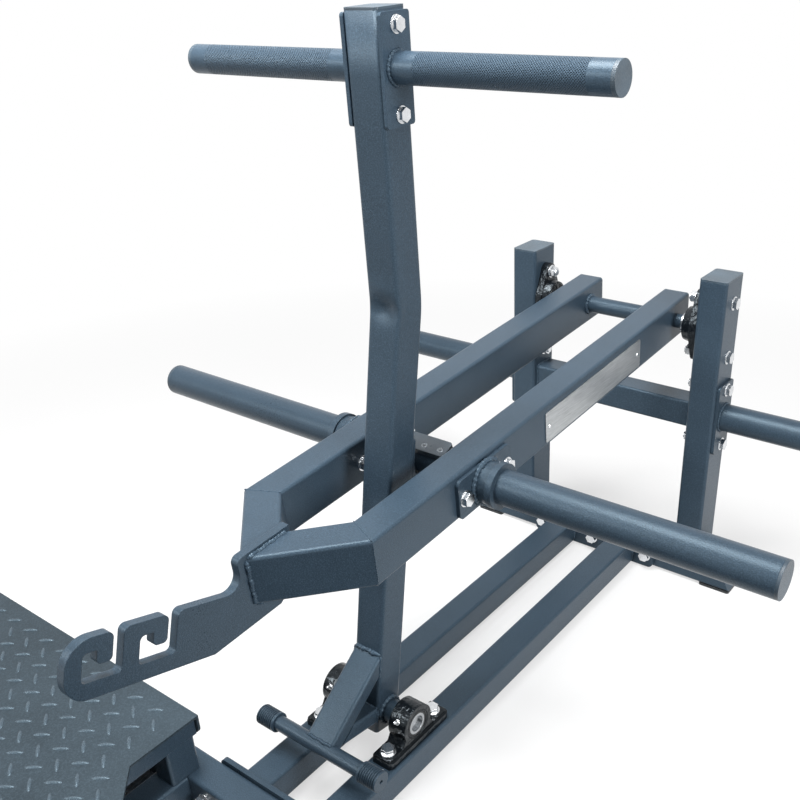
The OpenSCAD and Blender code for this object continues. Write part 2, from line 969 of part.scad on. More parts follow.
module nose_beam_right() {
    color(paint)
        lever_axes()
            difference() {
                translate([lever_half, -mitre_u, 0])
                    rotate([0, 0, -45])
                        translate([-beam_w / 2, beam_w, 0])
                            tube_forward(2 * lever_half + beam_w, beam_w, beam_h);
                mitre_rear();
                translate([hook_t / 2 - cut, -cut, -cut / 2])
                    cube(cut);
            }
}

module nose_beam_left() {
    mirror([1, 0, 0])
        nose_beam_right();
}

// The corner that a radius r takes off, its point at the origin
module corner_cut(r) {
    difference() {
        square(r);
        translate([r, r])
            circle(r);
    }
}

// Axes of the hooked bar: X along its lower edge
module bar_axes() {
    translate([bar_root, -hook_low])
        rotate(bar_tilt)
            children();
}

// One notch with its entry slot, in the bar's axes
module notch(x) {
    difference() {
        union() {
            translate([x + notch_w / 2, (notch_floor + bar_h - hook_crown) / 2])
                round_rect(notch_w, bar_h - hook_crown - notch_floor, notch_r);
            translate([x + notch_slot / 2, notch_floor + 30])
                round_rect(notch_slot, 60, notch_r);
            translate([x, bar_h - 20])
                square([notch_slot, 40]);
        }
        // The lip that hangs beside the slot
        translate([x + notch_slot + notch_lip / 2, lip_low + 30])
            round_rect(notch_lip, 60, notch_r);
    }
    // Rounded mouth of the slot
    difference() {
        translate([x - mouth_r, bar_h - mouth_r])
            square([notch_slot + 2 * mouth_r, mouth_r + 1]);
        translate([x - mouth_r, bar_h - mouth_r])
            circle(mouth_r);
        translate([x + notch_slot + mouth_r, bar_h - mouth_r])
            circle(mouth_r);
    }
}

// The bar before its notches are cut
module bar_blank() {
    translate([-160, 0])
        square([160 + bar_len - bar_round, bar_h]);
    translate([0, bar_round])
        square([bar_len, bar_h - 2 * bar_round]);
    for (y = [bar_round, bar_h - bar_round])
        translate([bar_len - bar_round, y])
            circle(bar_round);
}

module hook_outline() {
    half = 45 - bar_tilt / 2;
    reach = neck_r / tan(half);
    neck_n = bar_h / cos(bar_tilt) - hook_low - (bar_root - hook_front) * tan(bar_tilt);
    difference() {
        union() {
            difference() {
                translate([hook_back, -hook_low])
                    square([hook_front - hook_back - crest_r, hook_low + hook_top]);
                translate([hook_back, -hook_low])
                    polygon([[-1, -1], [37, -1], [-1, 25]]);
            }
            translate([hook_back + 40, -hook_low])
                square([hook_front - hook_back - 40, hook_low + hook_top - crest_r]);
            translate([hook_front - crest_r, hook_top - crest_r])
                circle(crest_r);
            intersection() {
                bar_axes()
                    bar_blank();
                translate([hook_back + 40, -hook_low])
                    square(cut);
            }
            // Fillet where the bar leaves the tall part
            difference() {
                polygon([
                    [hook_front, neck_n],
                    [hook_front + reach * cos(bar_tilt), neck_n + reach * sin(bar_tilt)],
                    [hook_front + neck_r, neck_n + reach],
                    [hook_front, neck_n + reach]
                ]);
                translate([hook_front + neck_r, neck_n + reach])
                    circle(neck_r);
            }
        }
        bar_axes() {
            notch(notch_x0);
            notch(notch_x0 + notch_pitch);
        }
    }
}

module hook_plate() {
    color(plate_paint)
        lever_axes()
            rotate([90, 0, -90])
                linear_extrude(hook_t, center = true)
                    hook_outline();
}

module pivot_shaft() {
    color(plate_paint)
        translate([0, post_y, pivot_z]) {
            rod_x(shaft_d, -bearing_x - ring_short, bearing_x + ring_short);
            rod_x(shaft_body_d, -lever_in, lever_in);
        }
}

// An inner ring around X, its long side towards +X, with its set screw hole
module inner_ring() {
    difference() {
        rod_x(ring_d, -ring_short, ring_long);
        rod_x(ring_bore, -ring_short - 1, ring_long + 1);
        translate([ring_long - 4.5, 0, 0])
            cylinder(d = 5, h = ring_d);
    }
}

module pivot_rings() {
    color(zinc) {
        translate([-bearing_x, post_y, pivot_z])
            inner_ring();
        translate([bearing_x, post_y, pivot_z])
            mirror([1, 0, 0])
                inner_ring();
    }
}

module rest_pad_axes() {
    lever_axes()
        translate([0, -cross_u, -horn_drop])
            rotate([pad_tilt, 0, 0])
                children();
}

module cross_tube() {
    color(paint)
        difference() {
            lever_axes()
                translate([0, -cross_u, -horn_drop])
                    difference() {
                        rod_x(cross_d, -lever_in, lever_in);
                        rod_x(cross_d - 2 * tube_wall, -lever_in - 1, lever_in + 1);
                    }
            rest_pad_axes()
                for (x = [-44, -16, 16, 44])
                    translate([x, 0, 0])
                        cylinder(d = screw_d + 0.1, h = cross_d);
        }
}

module rest_pad() {
    color(rubber)
        rest_pad_axes()
            difference() {
                translate([0, rest_shift, rest_top - rest_t])
                    linear_extrude(rest_t)
                        round_rect(rest_l, rest_w, 6);
                rod_x(cross_d + 0.1, -rest_l, rest_l);
                for (x = [-44, -16, 16, 44])
                    translate([x, 0, 0]) {
                        cylinder(d = screw_d + 0.1, h = cross_d);
                        translate([0, 0, rest_top - 2.6])
                            cylinder(d1 = screw_d + 0.1, d2 = 2 * screw_d + 0.2, h = 2.61);
                    }
            }
}

module rest_pad_screws() {
    color(zinc)
        rest_pad_axes()
            for (x = [-44, -16, 16, 44])
                translate([x, 0, 0])
                    difference() {
                        union() {
                            translate([0, 0, cross_d / 2 - 8])
                                cylinder(d = screw_d, h = rest_top - 1 - cross_d / 2 + 8);
                            translate([0, 0, rest_top - 2.6])
                                cylinder(d1 = screw_d, d2 = 2 * screw_d, h = 2.5);
                        }
                        for (a = [0, 90])
                            rotate(a)
                                translate([-2.5, -0.5, rest_top - 1.6])
                                    cube([5, 1, 3]);
                    }
}

module weight_horn_right() {
    color(plate_paint)
        lever_axes()
            translate([lever_half, -horn_u, -horn_drop])
                plate_horn(horn_bolt_span, false, horn_tip - lever_half, true);
}

module weight_horn_left() {
    mirror([1, 0, 0])
        weight_horn_right();
}

module weight_horn_caps() {
    color(rubber)
        for (m = [0, 1])
            mirror([m, 0, 0])
                lever_axes()
                    translate([lever_half, -horn_u, -horn_drop])
                        horn_plug(horn_tip - lever_half);
}

module weight_horn_bolts() {
    color(zinc)
        lever_axes()
            for (s = sides, i = sides)
                translate([s * (lever_half + horn_plate_t), i * horn_bolt_span / 2 - horn_u, -horn_drop])
                    rotate([0, s * 90, 0])
                        hex_bolt(bolt_d, horn_plate_t + beam_w);
}

module nameplate() {
    color(brushed)
        lever_axes()
            translate([lever_half, -nameplate_u, -horn_drop])
                difference() {
                    rotate([90, 0, 90])
                        linear_extrude(nameplate_t)
                            round_rect(nameplate_l, nameplate_h, 4);
                    for (i = sides)
                        translate([0, i * rivet_span / 2, 0])
                            rod_x(rivet_d + 0.1, -1, nameplate_t + 1);
                }
}

module nameplate_rivets() {
    color(zinc)
        lever_axes()
            for (i = sides)
                translate([lever_half, i * rivet_span / 2 - nameplate_u, -horn_drop]) {
                    rod_x(rivet_d, -tube_wall - 1.5, nameplate_t + 0.1);
                    translate([nameplate_t, 0, 0])
                        rotate([0, 90, 0])
                            cylinder(d1 = 7.5, d2 = 5, h = 1.3);
                }
}

module lever_end_caps() {
    color(rubber)
        lever_axes()
            for (s = sides)
                translate([s * (lever_half - beam_w / 2), lever_tail, 0])
                    rotate([90, 0, 0]) {
                        translate([0, 0, -cap_t])
                            linear_extrude(cap_t)
                                round_rect(beam_w, beam_h, tube_corner);
                        linear_extrude(plug_l)
                            round_rect(beam_w - 2 * tube_wall - 0.2, beam_h - 2 * tube_wall - 0.2, 2);
                    }
}

// Upright

// The lower tube with its bend, each face m inside the tube's surface
module lower_solid(m, low) {
    w = upright_box - 2 * m;
    upright_axes() {
        translate([0, 0, low])
            linear_extrude(bend_start - low)
                round_rect(w, w, tube_corner - m);
        translate([0, -bend_r, bend_start])
            rotate([90, 0, 90])
                rotate_extrude(angle = upright_bend)
                    translate([bend_r, 0])
                        round_rect(w, w, tube_corner - m);
    }
}

module upright_tube() {
    color(paint) {
        difference() {
            union() {
                lower_solid(0, -upright_tail);
                upright_axes()
                    for (s = sides)
                        translate([s * upright_box / 2, 0, 0])
                            rotate([0, s * 90, 0])
                                cylinder(d = boss_d, h = rail_x - ring_long - upright_box / 2);
            }
            lower_solid(tube_wall, -upright_tail - 1);
            upright_axes()
                rod_x(ring_bore, -rail_x, rail_x);
        }
        // The straight upper part, from the end of the bend
        head_axes()
            difference() {
                translate([0, 0, bend_tangent])
                    linear_extrude(upper_len - bend_tangent - cap_t)
                        box_wall(upright_box, upright_box);
                for (i = sides)
                    translate([0, 0, handle_up - head_plate_drop + i * head_bolt_span / 2])
                        rod_x(head_hole_d, -upright_box, upright_box);
            }
    }
}

module upright_cap() {
    color(rubber)
        head_axes()
            translate([0, 0, upper_len - cap_t]) {
                linear_extrude(cap_t)
                    round_rect(upright_box, upright_box, tube_corner);
                translate([0, 0, -plug_l])
                    linear_extrude(plug_l)
                        round_rect(upright_box - 2 * tube_wall - 0.2, upright_box - 2 * tube_wall - 0.2, 2);
            }
}

module handle_right() {
    color(plate_paint)
        head_axes()
            difference() {
                union() {
                    translate([upright_box / 2, 0, handle_up - head_plate_drop])
                        rotate([90, 0, 90])
                            linear_extrude(head_plate_t)
                                round_rect(upright_box, head_plate_h, head_plate_round);
                    translate([0, 0, handle_up])
                        rod_x(handle_d, upright_box / 2 + head_plate_t, handle_tip - handle_cap_l);
                }
                translate([0, 0, handle_up])
                    rod_x(handle_d - 2 * tube_wall, upright_box / 2 + head_plate_t, handle_tip);
                for (i = sides)
                    translate([0, 0, handle_up - head_plate_drop + i * head_bolt_span / 2])
                        rod_x(head_hole_d, 0, upright_box / 2 + head_plate_t + 1);
            }
}

module handle_left() {
    mirror([1, 0, 0])
        handle_right();
}

module handle_caps() {
    color(rubber)
        head_axes()
            for (m = [0, 1])
                mirror([m, 0, 0])
                    translate([0, 0, handle_up]) {
                        rod_x(handle_d, handle_tip - handle_cap_l, handle_tip);
                        rod_x(handle_d - 2 * tube_wall - 0.2, handle_tip - handle_cap_l - plug_l,
                            handle_tip - handle_cap_l);
                    }
}

module handle_bolts() {
    color(zinc)
        head_axes()
            for (i = sides)
                translate([upright_box / 2 + head_plate_t, 0,
                           handle_up - head_plate_drop + i * head_bolt_span / 2])
                    rotate([0, 90, 0])
                        hex_bolt(head_bolt_d, upright_box + 2 * head_plate_t);
}

module upright_shaft() {
    color(zinc)
        upright_axes()
            rod_x(shaft_d, shaft_recess - rail_x - ring_short, rail_x + ring_short - shaft_recess);
}

module upright_rings() {
    color(zinc)
        upright_axes() {
            translate([-rail_x, 0, 0])
                inner_ring();
            translate([rail_x, 0, 0])
                mirror([1, 0, 0])
                    inner_ring();
        }
}

// Axes of the foot lever: -Y runs down along its top face
module foot_lever_axes() {
    upright_axes()
        translate([0, -upright_box / 2, foot_lever_top])
            rotate([foot_slope, 0, 0])
                children();
}

// The foot bar's place, seen along the upright
module foot_bar_axes() {
    upright_axes()
        translate([0, -bar_reach, -bar_drop])
            children();
}

module foot_lever() {
    color(paint)
        difference() {
            foot_lever_axes()
                translate([0, 40, -lever_tube_t / 2])
                    tube_forward(40 + foot_lever_len, upright_box, lever_tube_t);
            upright_axes()
                translate([-50, -upright_box / 2, -100])
                    cube([100, 200, 400]);
            foot_bar_axes()
                rod_x(foot_bar_d, -50, 50);
        }
}

module foot_lever_strut() {
    color(paint)
        difference() {
            upright_axes()
                translate([0, -upright_box / 2, strut_top - lever_tube_t / 2])
                    tube_forward(bar_reach - upright_box / 2, upright_box, lever_tube_t);
            foot_lever_axes()
                translate([-50, -300, -lever_tube_t])
                    cube([100, 400, 200]);
        }
}

module foot_bar() {
    color(plate_paint)
        foot_bar_axes()
            rod_x(foot_bar_d, 3 - foot_bar_half, foot_bar_half - 3);
}

// A grooved grip along +X from x = 0, closed at its far end but for a hole
module grip() {
    difference() {
        rod_x(grip_d, 0, grip_l);
        rod_x(foot_bar_d + 0.04, -1, grip_l - 3);
        rod_x(6, 0, grip_l + 1);
        for (i = [1:8])
            difference() {
                rod_x(grip_d + 2, grip_l * i / 9 - 0.7, grip_l * i / 9 + 0.7);
                rod_x(grip_d - 2, grip_l * i / 9 - 1, grip_l * i / 9 + 1);
            }
    }
}

module foot_grips() {
    color(rubber)
        foot_bar_axes()
            for (m = [0, 1])
                mirror([m, 0, 0])
                    translate([foot_bar_half - grip_l, 0, 0])
                        grip();
}

// The catch under the cross tube, seen from the side
module catch_outline() {
    y0 = catch_face + catch_plate_t;
    // Shoulder in front of the tube
    polygon([
        [y0, tube_lz - 70],
        [y0, shoulder_z],
        [shoulder_y, shoulder_z],
        [shoulder_y, tube_lz - 50]
    ]);
    // Curved seat under the tube, centred on the upright's pivot
    intersection() {
        circle(catch_r, $fn = 720);
        polygon([
            [y0, tube_lz - 70],
            [y0, tube_lz],
            [catch_end_y, tube_lz],
            [catch_end_y, catch_end_z - 12],
            [catch_end_y - 10, catch_end_z - 16]
        ]);
    }
}

module catch_bracket() {
    color(plate_paint)
        upright_axes() {
            translate([0, catch_face, tube_lz - 15])
                rotate([-90, 0, 0])
                    linear_extrude(catch_plate_t)
                        round_rect(catch_plate_w, 120, 8);
            rotate([90, 0, 90])
                linear_extrude(blade_t, center = true)
                    catch_outline();
        }
}

rear_foot_beam();
floor_pads();
rear_post_left();
rear_post_right();
post_caps();
post_cross_beam();
storage_horn_left();
storage_horn_right();
storage_horn_caps();
storage_horn_bolts();
bearing_housing_left();
bearing_housing_right();
bearing_bolts();
base_rail_left();
base_rail_right();
rear_flange_plate();
front_flange_plate();
flange_bolts();
front_cross_beam();
side_beam_left();
side_beam_right();
front_foot_beam();
platform_legs();
platform_frame_left();
platform_frame_right();
platform_frame_middle();
platform_plate();
pillow_block_left();
pillow_block_right();
pillow_bolts();
lever_beam_left();
lever_beam_right();
nose_beam_left();
nose_beam_right();
hook_plate();
pivot_shaft();
pivot_rings();
cross_tube();
rest_pad();
rest_pad_screws();
weight_horn_left();
weight_horn_right();
weight_horn_caps();
weight_horn_bolts();
nameplate();
nameplate_rivets();
lever_end_caps();
upright_tube();
upright_cap();
handle_left();
handle_right();
handle_caps();
handle_bolts();
upright_shaft();
upright_rings();
foot_lever();
foot_lever_strut();
foot_bar();
foot_grips();
catch_bracket();
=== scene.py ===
"""Belt squat machine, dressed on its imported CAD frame.

Lengths are in metres in the frame of the CAD model: X to the user's right, Y to the
rear posts, Z up, the origin on the floor at the middle of the footprint.
"""

import json
import math

import bmesh
import bpy
from mathutils import Matrix, Vector


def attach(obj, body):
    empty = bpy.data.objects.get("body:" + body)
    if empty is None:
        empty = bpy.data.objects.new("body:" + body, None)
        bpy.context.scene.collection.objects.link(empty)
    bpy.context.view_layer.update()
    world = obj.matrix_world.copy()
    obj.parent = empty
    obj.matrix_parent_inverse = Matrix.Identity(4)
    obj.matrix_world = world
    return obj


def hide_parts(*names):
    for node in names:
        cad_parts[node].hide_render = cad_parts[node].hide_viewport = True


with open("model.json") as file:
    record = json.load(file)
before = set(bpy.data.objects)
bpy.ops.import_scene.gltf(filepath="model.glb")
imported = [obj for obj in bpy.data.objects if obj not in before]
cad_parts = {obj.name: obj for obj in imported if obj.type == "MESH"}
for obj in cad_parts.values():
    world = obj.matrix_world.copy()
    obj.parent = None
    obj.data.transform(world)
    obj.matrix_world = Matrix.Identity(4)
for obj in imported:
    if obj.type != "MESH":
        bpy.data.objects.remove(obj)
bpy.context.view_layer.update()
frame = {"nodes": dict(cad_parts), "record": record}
nodes = frame["nodes"]

FULL_TURN = 2 * math.pi
SIDES = (-1, 1)

# Tubes and round bars, as the CAD model has them
BEAM_W = 0.050
BEAM_H = 0.070
BASE_BOX = 0.050
TUBE_WALL = 0.003
TUBE_CORNER = 0.005
CAP_T = 0.003
HORN_R = 0.025
HORN_PLATE = 0.006
SLEEVE_R = 0.030
HANDLE_R = 0.018
HEAD_PLATE = 0.005
SHAFT_BODY_R = 0.015
BOSS_R = 0.018
GRIP_R = 0.0155

# Rear posts and base, Y1 to the rear and Y0 to the front
POST_Y = 0.728921
POST_IN = 0.163
POST_OUT = POST_IN + BEAM_W
STORE_Z = 0.332
BASE_TOP = 0.055
RAIL_X = 0.0665
RAIL_Y1 = POST_Y - 0.066
RAIL_Y0 = RAIL_Y1 - 0.862

# Platform
DECK_Z = 0.150
DECK_Y1 = POST_Y - 0.950
DECK_Y0 = DECK_Y1 - 0.558
DECK_HALF = 0.740
GAP_HALF = 0.147
GAP_STRAIGHT = 0.117
GAP_END_HALF = 0.050
GAP_DEPTH = GAP_STRAIGHT + GAP_HALF - GAP_END_HALF

# Lever, with lengths from its pivot
PIVOT_Z = 0.496
LEVER_PITCH = math.radians(3.7)
LEVER_HALF = 0.113
LEVER_IN = LEVER_HALF - BEAM_W
MITRE_U = 0.832
HORN_U = 0.606
HORN_DROP = 0.003
CROSS_U = 0.600
CROSS_R = 0.021
HOOK_HALF = 0.006
NOSE_BACK_U = 0.8715
NOSE_FRONT_U = 0.9370

# Upright, with lengths from its pivot
FOOT_PIVOT_Y = POST_Y - 0.737
FOOT_PIVOT_Z = 0.0915
UPRIGHT_LEAN = math.radians(10)
UPRIGHT_BEND = math.radians(11)
UPRIGHT_HALF = 0.025
UPRIGHT_TAIL = 0.032
BEND_R = 0.150
BEND_UP = 0.608
BEND_TANGENT = BEND_R * math.tan(UPRIGHT_BEND / 2)
BEND_START = BEND_UP - BEND_TANGENT
UPPER_LEN = 0.351
HANDLE_UP = UPPER_LEN - 0.0635
FOOT_LEVER_TOP = 0.102
FOOT_LEVER_T = 0.025
FOOT_LEVER_RUN = 0.1432
FOOT_SLOPE = math.radians(46.2)
STRUT_TOP = 0.011
BAR_REACH = 0.1225
BAR_DROP = 0.013
GRIP_IN = 0.0820
GRIP_OUT = 0.1160


def turn_x(angle):
    return Matrix.Rotation(angle, 4, "X")


def turn_y(angle):
    return Matrix.Rotation(angle, 4, "Y")


def turn_z(angle):
    return Matrix.Rotation(angle, 4, "Z")


def shift(x, y, z):
    return Matrix.Translation((x, y, z))


BASE = Matrix.Identity(4)
LEVER = shift(0, POST_Y, PIVOT_Z) @ turn_x(LEVER_PITCH)
UPRIGHT = shift(0, FOOT_PIVOT_Y, FOOT_PIVOT_Z) @ turn_x(-UPRIGHT_LEAN)
BEND_CENTRE = shift(0, -BEND_R, BEND_START)
HEAD = UPRIGHT @ BEND_CENTRE @ turn_x(UPRIGHT_BEND) @ shift(0, BEND_R, -BEND_TANGENT)


# The photograph's view, with its lens in pixels of an 800 pixel picture
VIEW_AZIMUTH = 0.670346
VIEW_ELEVATION = math.radians(29.072)
VIEW_ROLL = math.radians(-2.448)
VIEW_PLACE = (0.772762, POST_Y - 1.524435, 1.094685)
PICTURE_SIDE = 800
LENS_LENGTH = 946.292
LENS_CENTRE_X = 442.444
LENS_CENTRE_Y = 473.842
SENSOR_WIDTH = 36
VIEW_END = 60


def aim_camera():
    ahead = Vector(
        (
            -math.sin(VIEW_AZIMUTH) * math.cos(VIEW_ELEVATION),
            math.cos(VIEW_AZIMUTH) * math.cos(VIEW_ELEVATION),
            -math.sin(VIEW_ELEVATION),
        )
    )
    level = Vector((math.cos(VIEW_AZIMUTH), math.sin(VIEW_AZIMUTH), 0))
    above = level.cross(ahead)
    right = level * math.cos(VIEW_ROLL) + above * math.sin(VIEW_ROLL)
    up = above * math.cos(VIEW_ROLL) - level * math.sin(VIEW_ROLL)
    lens = bpy.data.cameras.new("photo_view")
    lens.sensor_width = SENSOR_WIDTH
    lens.lens = LENS_LENGTH * SENSOR_WIDTH / PICTURE_SIDE
    lens.shift_x = (PICTURE_SIDE / 2 - LENS_CENTRE_X) / PICTURE_SIDE
    lens.shift_y = (LENS_CENTRE_Y - PICTURE_SIDE / 2) / PICTURE_SIDE
    lens.clip_end = VIEW_END
    camera = bpy.data.objects.new("photo_view", lens)
    place = Matrix((right, up, -ahead)).transposed().to_4x4()
    place.translation = VIEW_PLACE
    camera.matrix_world = place
    bpy.context.scene.collection.objects.link(camera)
    bpy.context.scene.camera = camera


aim_camera()


# Finishes
PAINT = (0.038, 0.061, 0.087)
PAINT_TINT = (0.66, 0.86, 1.0, 1.0)
# The handles' knurl: its pitch, and where it starts and ends from the middle
KNURL_PITCH = 0.0031
KNURL_START = 0.064
KNURL_END = 0.281
# Sockets of a colour Mix node: its two colours and its result
MIX_FIRST, MIX_SECOND, MIX_RESULT = 6, 7, 2


class Value:
    """A socket that Python's operators work on."""

    def __init__(self, finish, socket):
        self.finish = finish
        self.socket = socket

    def maths(self, operation, *others):
        values = dict(enumerate((self,) + others))
        return self.finish.node("ShaderNodeMath", {"operation": operation}, values)

    def __add__(self, other):
        return self.maths("ADD", other)

    __radd__ = __add__

    def __sub__(self, other):
        return self.maths("SUBTRACT", other)

    def __rsub__(self, other):
        return self.finish.node("ShaderNodeMath", {"operation": "SUBTRACT"}, {0: other, 1: self})

    def __mul__(self, other):
        return self.maths("MULTIPLY", other)

    __rmul__ = __mul__

    def sine(self):
        return self.maths("SINE")

    def size(self):
        return self.maths("ABSOLUTE")

    def above(self, edge):
        return self.maths("GREATER_THAN", edge)

    def below(self, edge):
        return self.maths("LESS_THAN", edge)

    def angle_with(self, other):
        return self.maths("ARCTAN2", other)

    def larger(self, other):
        return self.maths("MAXIMUM", other)


def shade(colour, amount):
    return tuple(min(1.0, channel * amount) for channel in colour)


def opaque(colour):
    return tuple(colour) + (1.0,) if len(colour) == 3 else colour


class Nodes:
    """A node tree that is built by one call for each node."""

    def __init__(self, tree):
        self.tree = tree

    def node(self, kind, settings=None, values=None, output=0):
        made = self.tree.nodes.new(kind)
        for key, setting in (settings or {}).items():
            if key == "stops":
                self.stops(made.color_ramp.elements, setting)
            else:
                setattr(made, key, setting)
        for key, amount in (values or {}).items():
            self.feed(made.inputs[key], amount)
        return Value(self, made.outputs[output])

    def feed(self, socket, amount):
        if isinstance(amount, Value):
            self.tree.links.new(amount.socket, socket)
        else:
            socket.default_value = amount

    @staticmethod
    def stops(elements, wanted):
        while len(elements) < len(wanted):
            elements.new(0.5)
        for element, (position, colour) in zip(elements, wanted):
            element.position = position
            element.color = opaque(colour)

    def seen(self):
        """One for the rays that show the background, directly or in metal and glass."""
        rays = [
            self.node("ShaderNodeLightPath", output=name)
            for name in ("Is Camera Ray", "Is Glossy Ray", "Is Transmission Ray")
        ]
        return rays[0].larger(rays[1]).larger(rays[2])


class Finish(Nodes):
    """A material that starts from one plain shader."""

    def __init__(self, name, colour, roughness, metallic=0.0):
        self.material = bpy.data.materials.new(name)
        self.material.use_nodes = True
        super().__init__(self.material.node_tree)
        self.shader = self.tree.nodes["Principled BSDF"]
        self.set("Base Color", opaque(colour))
        self.set("Roughness", roughness)
        self.set("Metallic", metallic)

    def set(self, socket, amount):
        self.feed(self.shader.inputs[socket], amount)

    def place(self):
        return self.node("ShaderNodeTexCoord", output="Object")

    def axis(self, letter):
        return self.node("ShaderNodeSeparateXYZ", values={0: self.place()}, output=letter)

    def mapped(self, scale, turn=(0, 0, 0)):
        values = {"Vector": self.place(), "Scale": scale, "Rotation": turn}
        return self.node("ShaderNodeMapping", values=values)

    def noise(self, scale, detail, rough, point=None):
        values = {
            "Vector": point or self.place(),
            "Scale": scale,
            "Detail": detail,
            "Roughness": rough,
        }
        return self.node("ShaderNodeTexNoise", values=values)

    def cells(self, scale):
        return self.node("ShaderNodeTexVoronoi", values={"Vector": self.place(), "Scale": scale})

    def ramp(self, amount, stops):
        return self.node("ShaderNodeValToRGB", {"stops": stops}, {0: amount})

    def blend(self, amount, first, second):
        values = {0: amount, MIX_FIRST: first, MIX_SECOND: second}
        return self.node("ShaderNodeMix", {"data_type": "RGBA"}, values, MIX_RESULT)

    def between(self, amount, start, end, low=0.0, high=1.0):
        """Goes evenly from low to high while an amount goes from start to end."""
        values = {0: amount, 1: start, 2: end, 3: low, 4: high}
        return self.node("ShaderNodeMapRange", values=values)

    def relief(self, height, distance, strength, soft_edge=None):
        """Bump, and edges that look rounded to a small radius."""
        values = {"Height": height, "Distance": distance, "Strength": strength}
        if soft_edge:
            values["Normal"] = self.node("ShaderNodeBevel", {"samples": 4}, {"Radius": soft_edge})
        self.set("Normal", self.node("ShaderNodeBump", values=values))


def powder_coat(name, colour, roughness, soft_edge=0.0018, grit=620, patches=16, bloom=0.12):
    """Satin powder coat with its fine orange peel and a light bloom in places."""
    finish = Finish(name, colour, roughness)
    peel = finish.noise(grit, 3, 0.6)
    cloud = finish.noise(patches, 3, 0.5)
    stops = [(0.36, shade(colour, 0.66)), (0.52, colour), (0.68, shade(colour, 1.75))]
    grain = finish.ramp(peel, stops)
    tone = finish.ramp(cloud, [(0.3, shade(colour, 1 - bloom)), (0.7, shade(colour, 1 + bloom))])
    finish.set("Base Color", finish.blend(0.45, grain, tone))
    finish.set("Roughness", roughness - 0.08 + cloud * 0.10 + peel * 0.10)
    finish.set("Specular IOR Level", 0.34)
    finish.set("Specular Tint", PAINT_TINT)
    finish.relief(peel, 0.0006, 0.6, soft_edge)
    return finish.material


frame_paint = powder_coat("frame_paint", PAINT, 0.29)
plate_paint = powder_coat("plate_paint", shade(PAINT, 0.90), 0.28)
tread_paint = powder_coat(
    "tread_paint",
    (0.030, 0.043, 0.054),
    0.38,
    soft_edge=0.0012,
    grit=430,
    patches=7,
    bloom=0.4,
)
# The bars' paint is lighter than the plate's: a painted highlight on the raised bars
bar_paint_and_highlight = powder_coat("tread_bar_paint_and_highlight", (0.066, 0.092, 0.114), 0.24, soft_edge=None)
weld_paint = powder_coat("weld_paint", shade(PAINT, 1.10), 0.26, soft_edge=None)


def knurled_paint():
    """Paint over a diamond knurl that stops short of the handle's ends, with painted shade in the
    knurl's grooves and painted highlight on its crests.
    """
    finish = Finish("knurled_paint", PAINT, 0.40)
    axis = HEAD @ Vector((0, 0, HANDLE_UP))
    along = finish.axis("X")
    height = finish.axis("Z") - axis.z
    around = (finish.axis("Y") - axis.y).angle_with(height) * HANDLE_R
    left = ((along + around) * (FULL_TURN / KNURL_PITCH)).sine()
    right = ((along - around) * (FULL_TURN / KNURL_PITCH)).sine()
    inside = along.size().above(KNURL_START) * along.size().below(KNURL_END)
    diamonds = left.larger(right) * inside
    # Painted shade and highlight: dark where the knurl's relief is low, light where it is high,
    # and lighter on the whole than the frame paint
    stops = [(0.25, shade(PAINT, 0.6)), (0.6, shade(PAINT, 1.1)), (1.0, shade(PAINT, 1.9))]
    tone = finish.ramp(diamonds * 0.5 + 0.5, stops)
    peel = finish.noise(760, 3, 0.6)
    plain = finish.ramp(peel, [(0.36, shade(PAINT, 0.9)), (0.64, shade(PAINT, 1.6))])
    finish.set("Base Color", finish.blend(inside, plain, tone))
    finish.set("Roughness", 0.30 + inside * 0.10)
    finish.set("Specular IOR Level", 0.3)
    finish.set("Specular Tint", PAINT_TINT)
    finish.relief(diamonds + peel * 0.25, 0.0009, 0.8)
    return finish.material


def cast_black():
    """Glossy enamel on a sand casting."""
    colour = (0.0045, 0.0058, 0.0075)
    finish = Finish("cast_black", colour, 0.16)
    sand = finish.noise(130, 3, 0.5)
    pits = finish.cells(110)
    stops = [(0.3, shade(colour, 0.7)), (0.8, shade(colour, 2))]
    finish.set("Base Color", finish.ramp(sand, stops))
    finish.set("Roughness", 0.06 + sand * 0.14)
    finish.set("Specular IOR Level", 0.35)
    finish.set("Specular Tint", (0.80, 0.92, 1.0, 1.0))
    finish.relief(sand + pits * 0.4, 0.0020, 0.65, 0.0024)
    return finish.material


def plated(name, colour, roughness):
    """Zinc plate with its cloudy tone."""
    finish = Finish(name, colour, roughness, 1.0)
    cloud = finish.noise(90, 4, 0.6)
    fine = finish.noise(900, 2, 0.5)
    finish.set("Base Color", finish.ramp(cloud, [(0.3, shade(colour, 0.80)), (0.75, colour)]))
    finish.set("Roughness", roughness - 0.06 + cloud * 0.14)
    finish.relief(fine, 0.00015, 0.3, 0.0007)
    return finish.material


def turned_steel():
    """Ground steel with fine marks round its axis."""
    colour = (0.46, 0.48, 0.50)
    finish = Finish("turned_steel", colour, 0.24, 1.0)
    marks = finish.noise(50, 3, 0.6, finish.mapped(scale=(60, 1, 1)))
    finish.set("Base Color", finish.ramp(marks, [(0.3, shade(colour, 0.8)), (0.7, colour)]))
    finish.set("Roughness", 0.14 + marks * 0.16)
    finish.relief(marks, 0.00012, 0.4, 0.0008)
    return finish.material


def brushed_sheet():
    """Stainless sheet brushed along its length, with a few darker streaks."""
    colour = (0.50, 0.52, 0.53)
    finish = Finish("brushed_sheet", colour, 0.36, 1.0)
    along = finish.mapped(scale=(1, 1.2, 60), turn=(-LEVER_PITCH, 0, 0))
    grain = finish.noise(30, 5, 0.65, along)
    stops = [(0.32, (0.33, 0.345, 0.355)), (0.5, colour), (0.72, (0.70, 0.715, 0.725))]
    finish.set("Base Color", finish.ramp(grain, stops))
    finish.set("Roughness", 0.28 + grain * 0.20)
    finish.relief(grain, 0.00012, 0.5, 0.0006)
    return finish.material


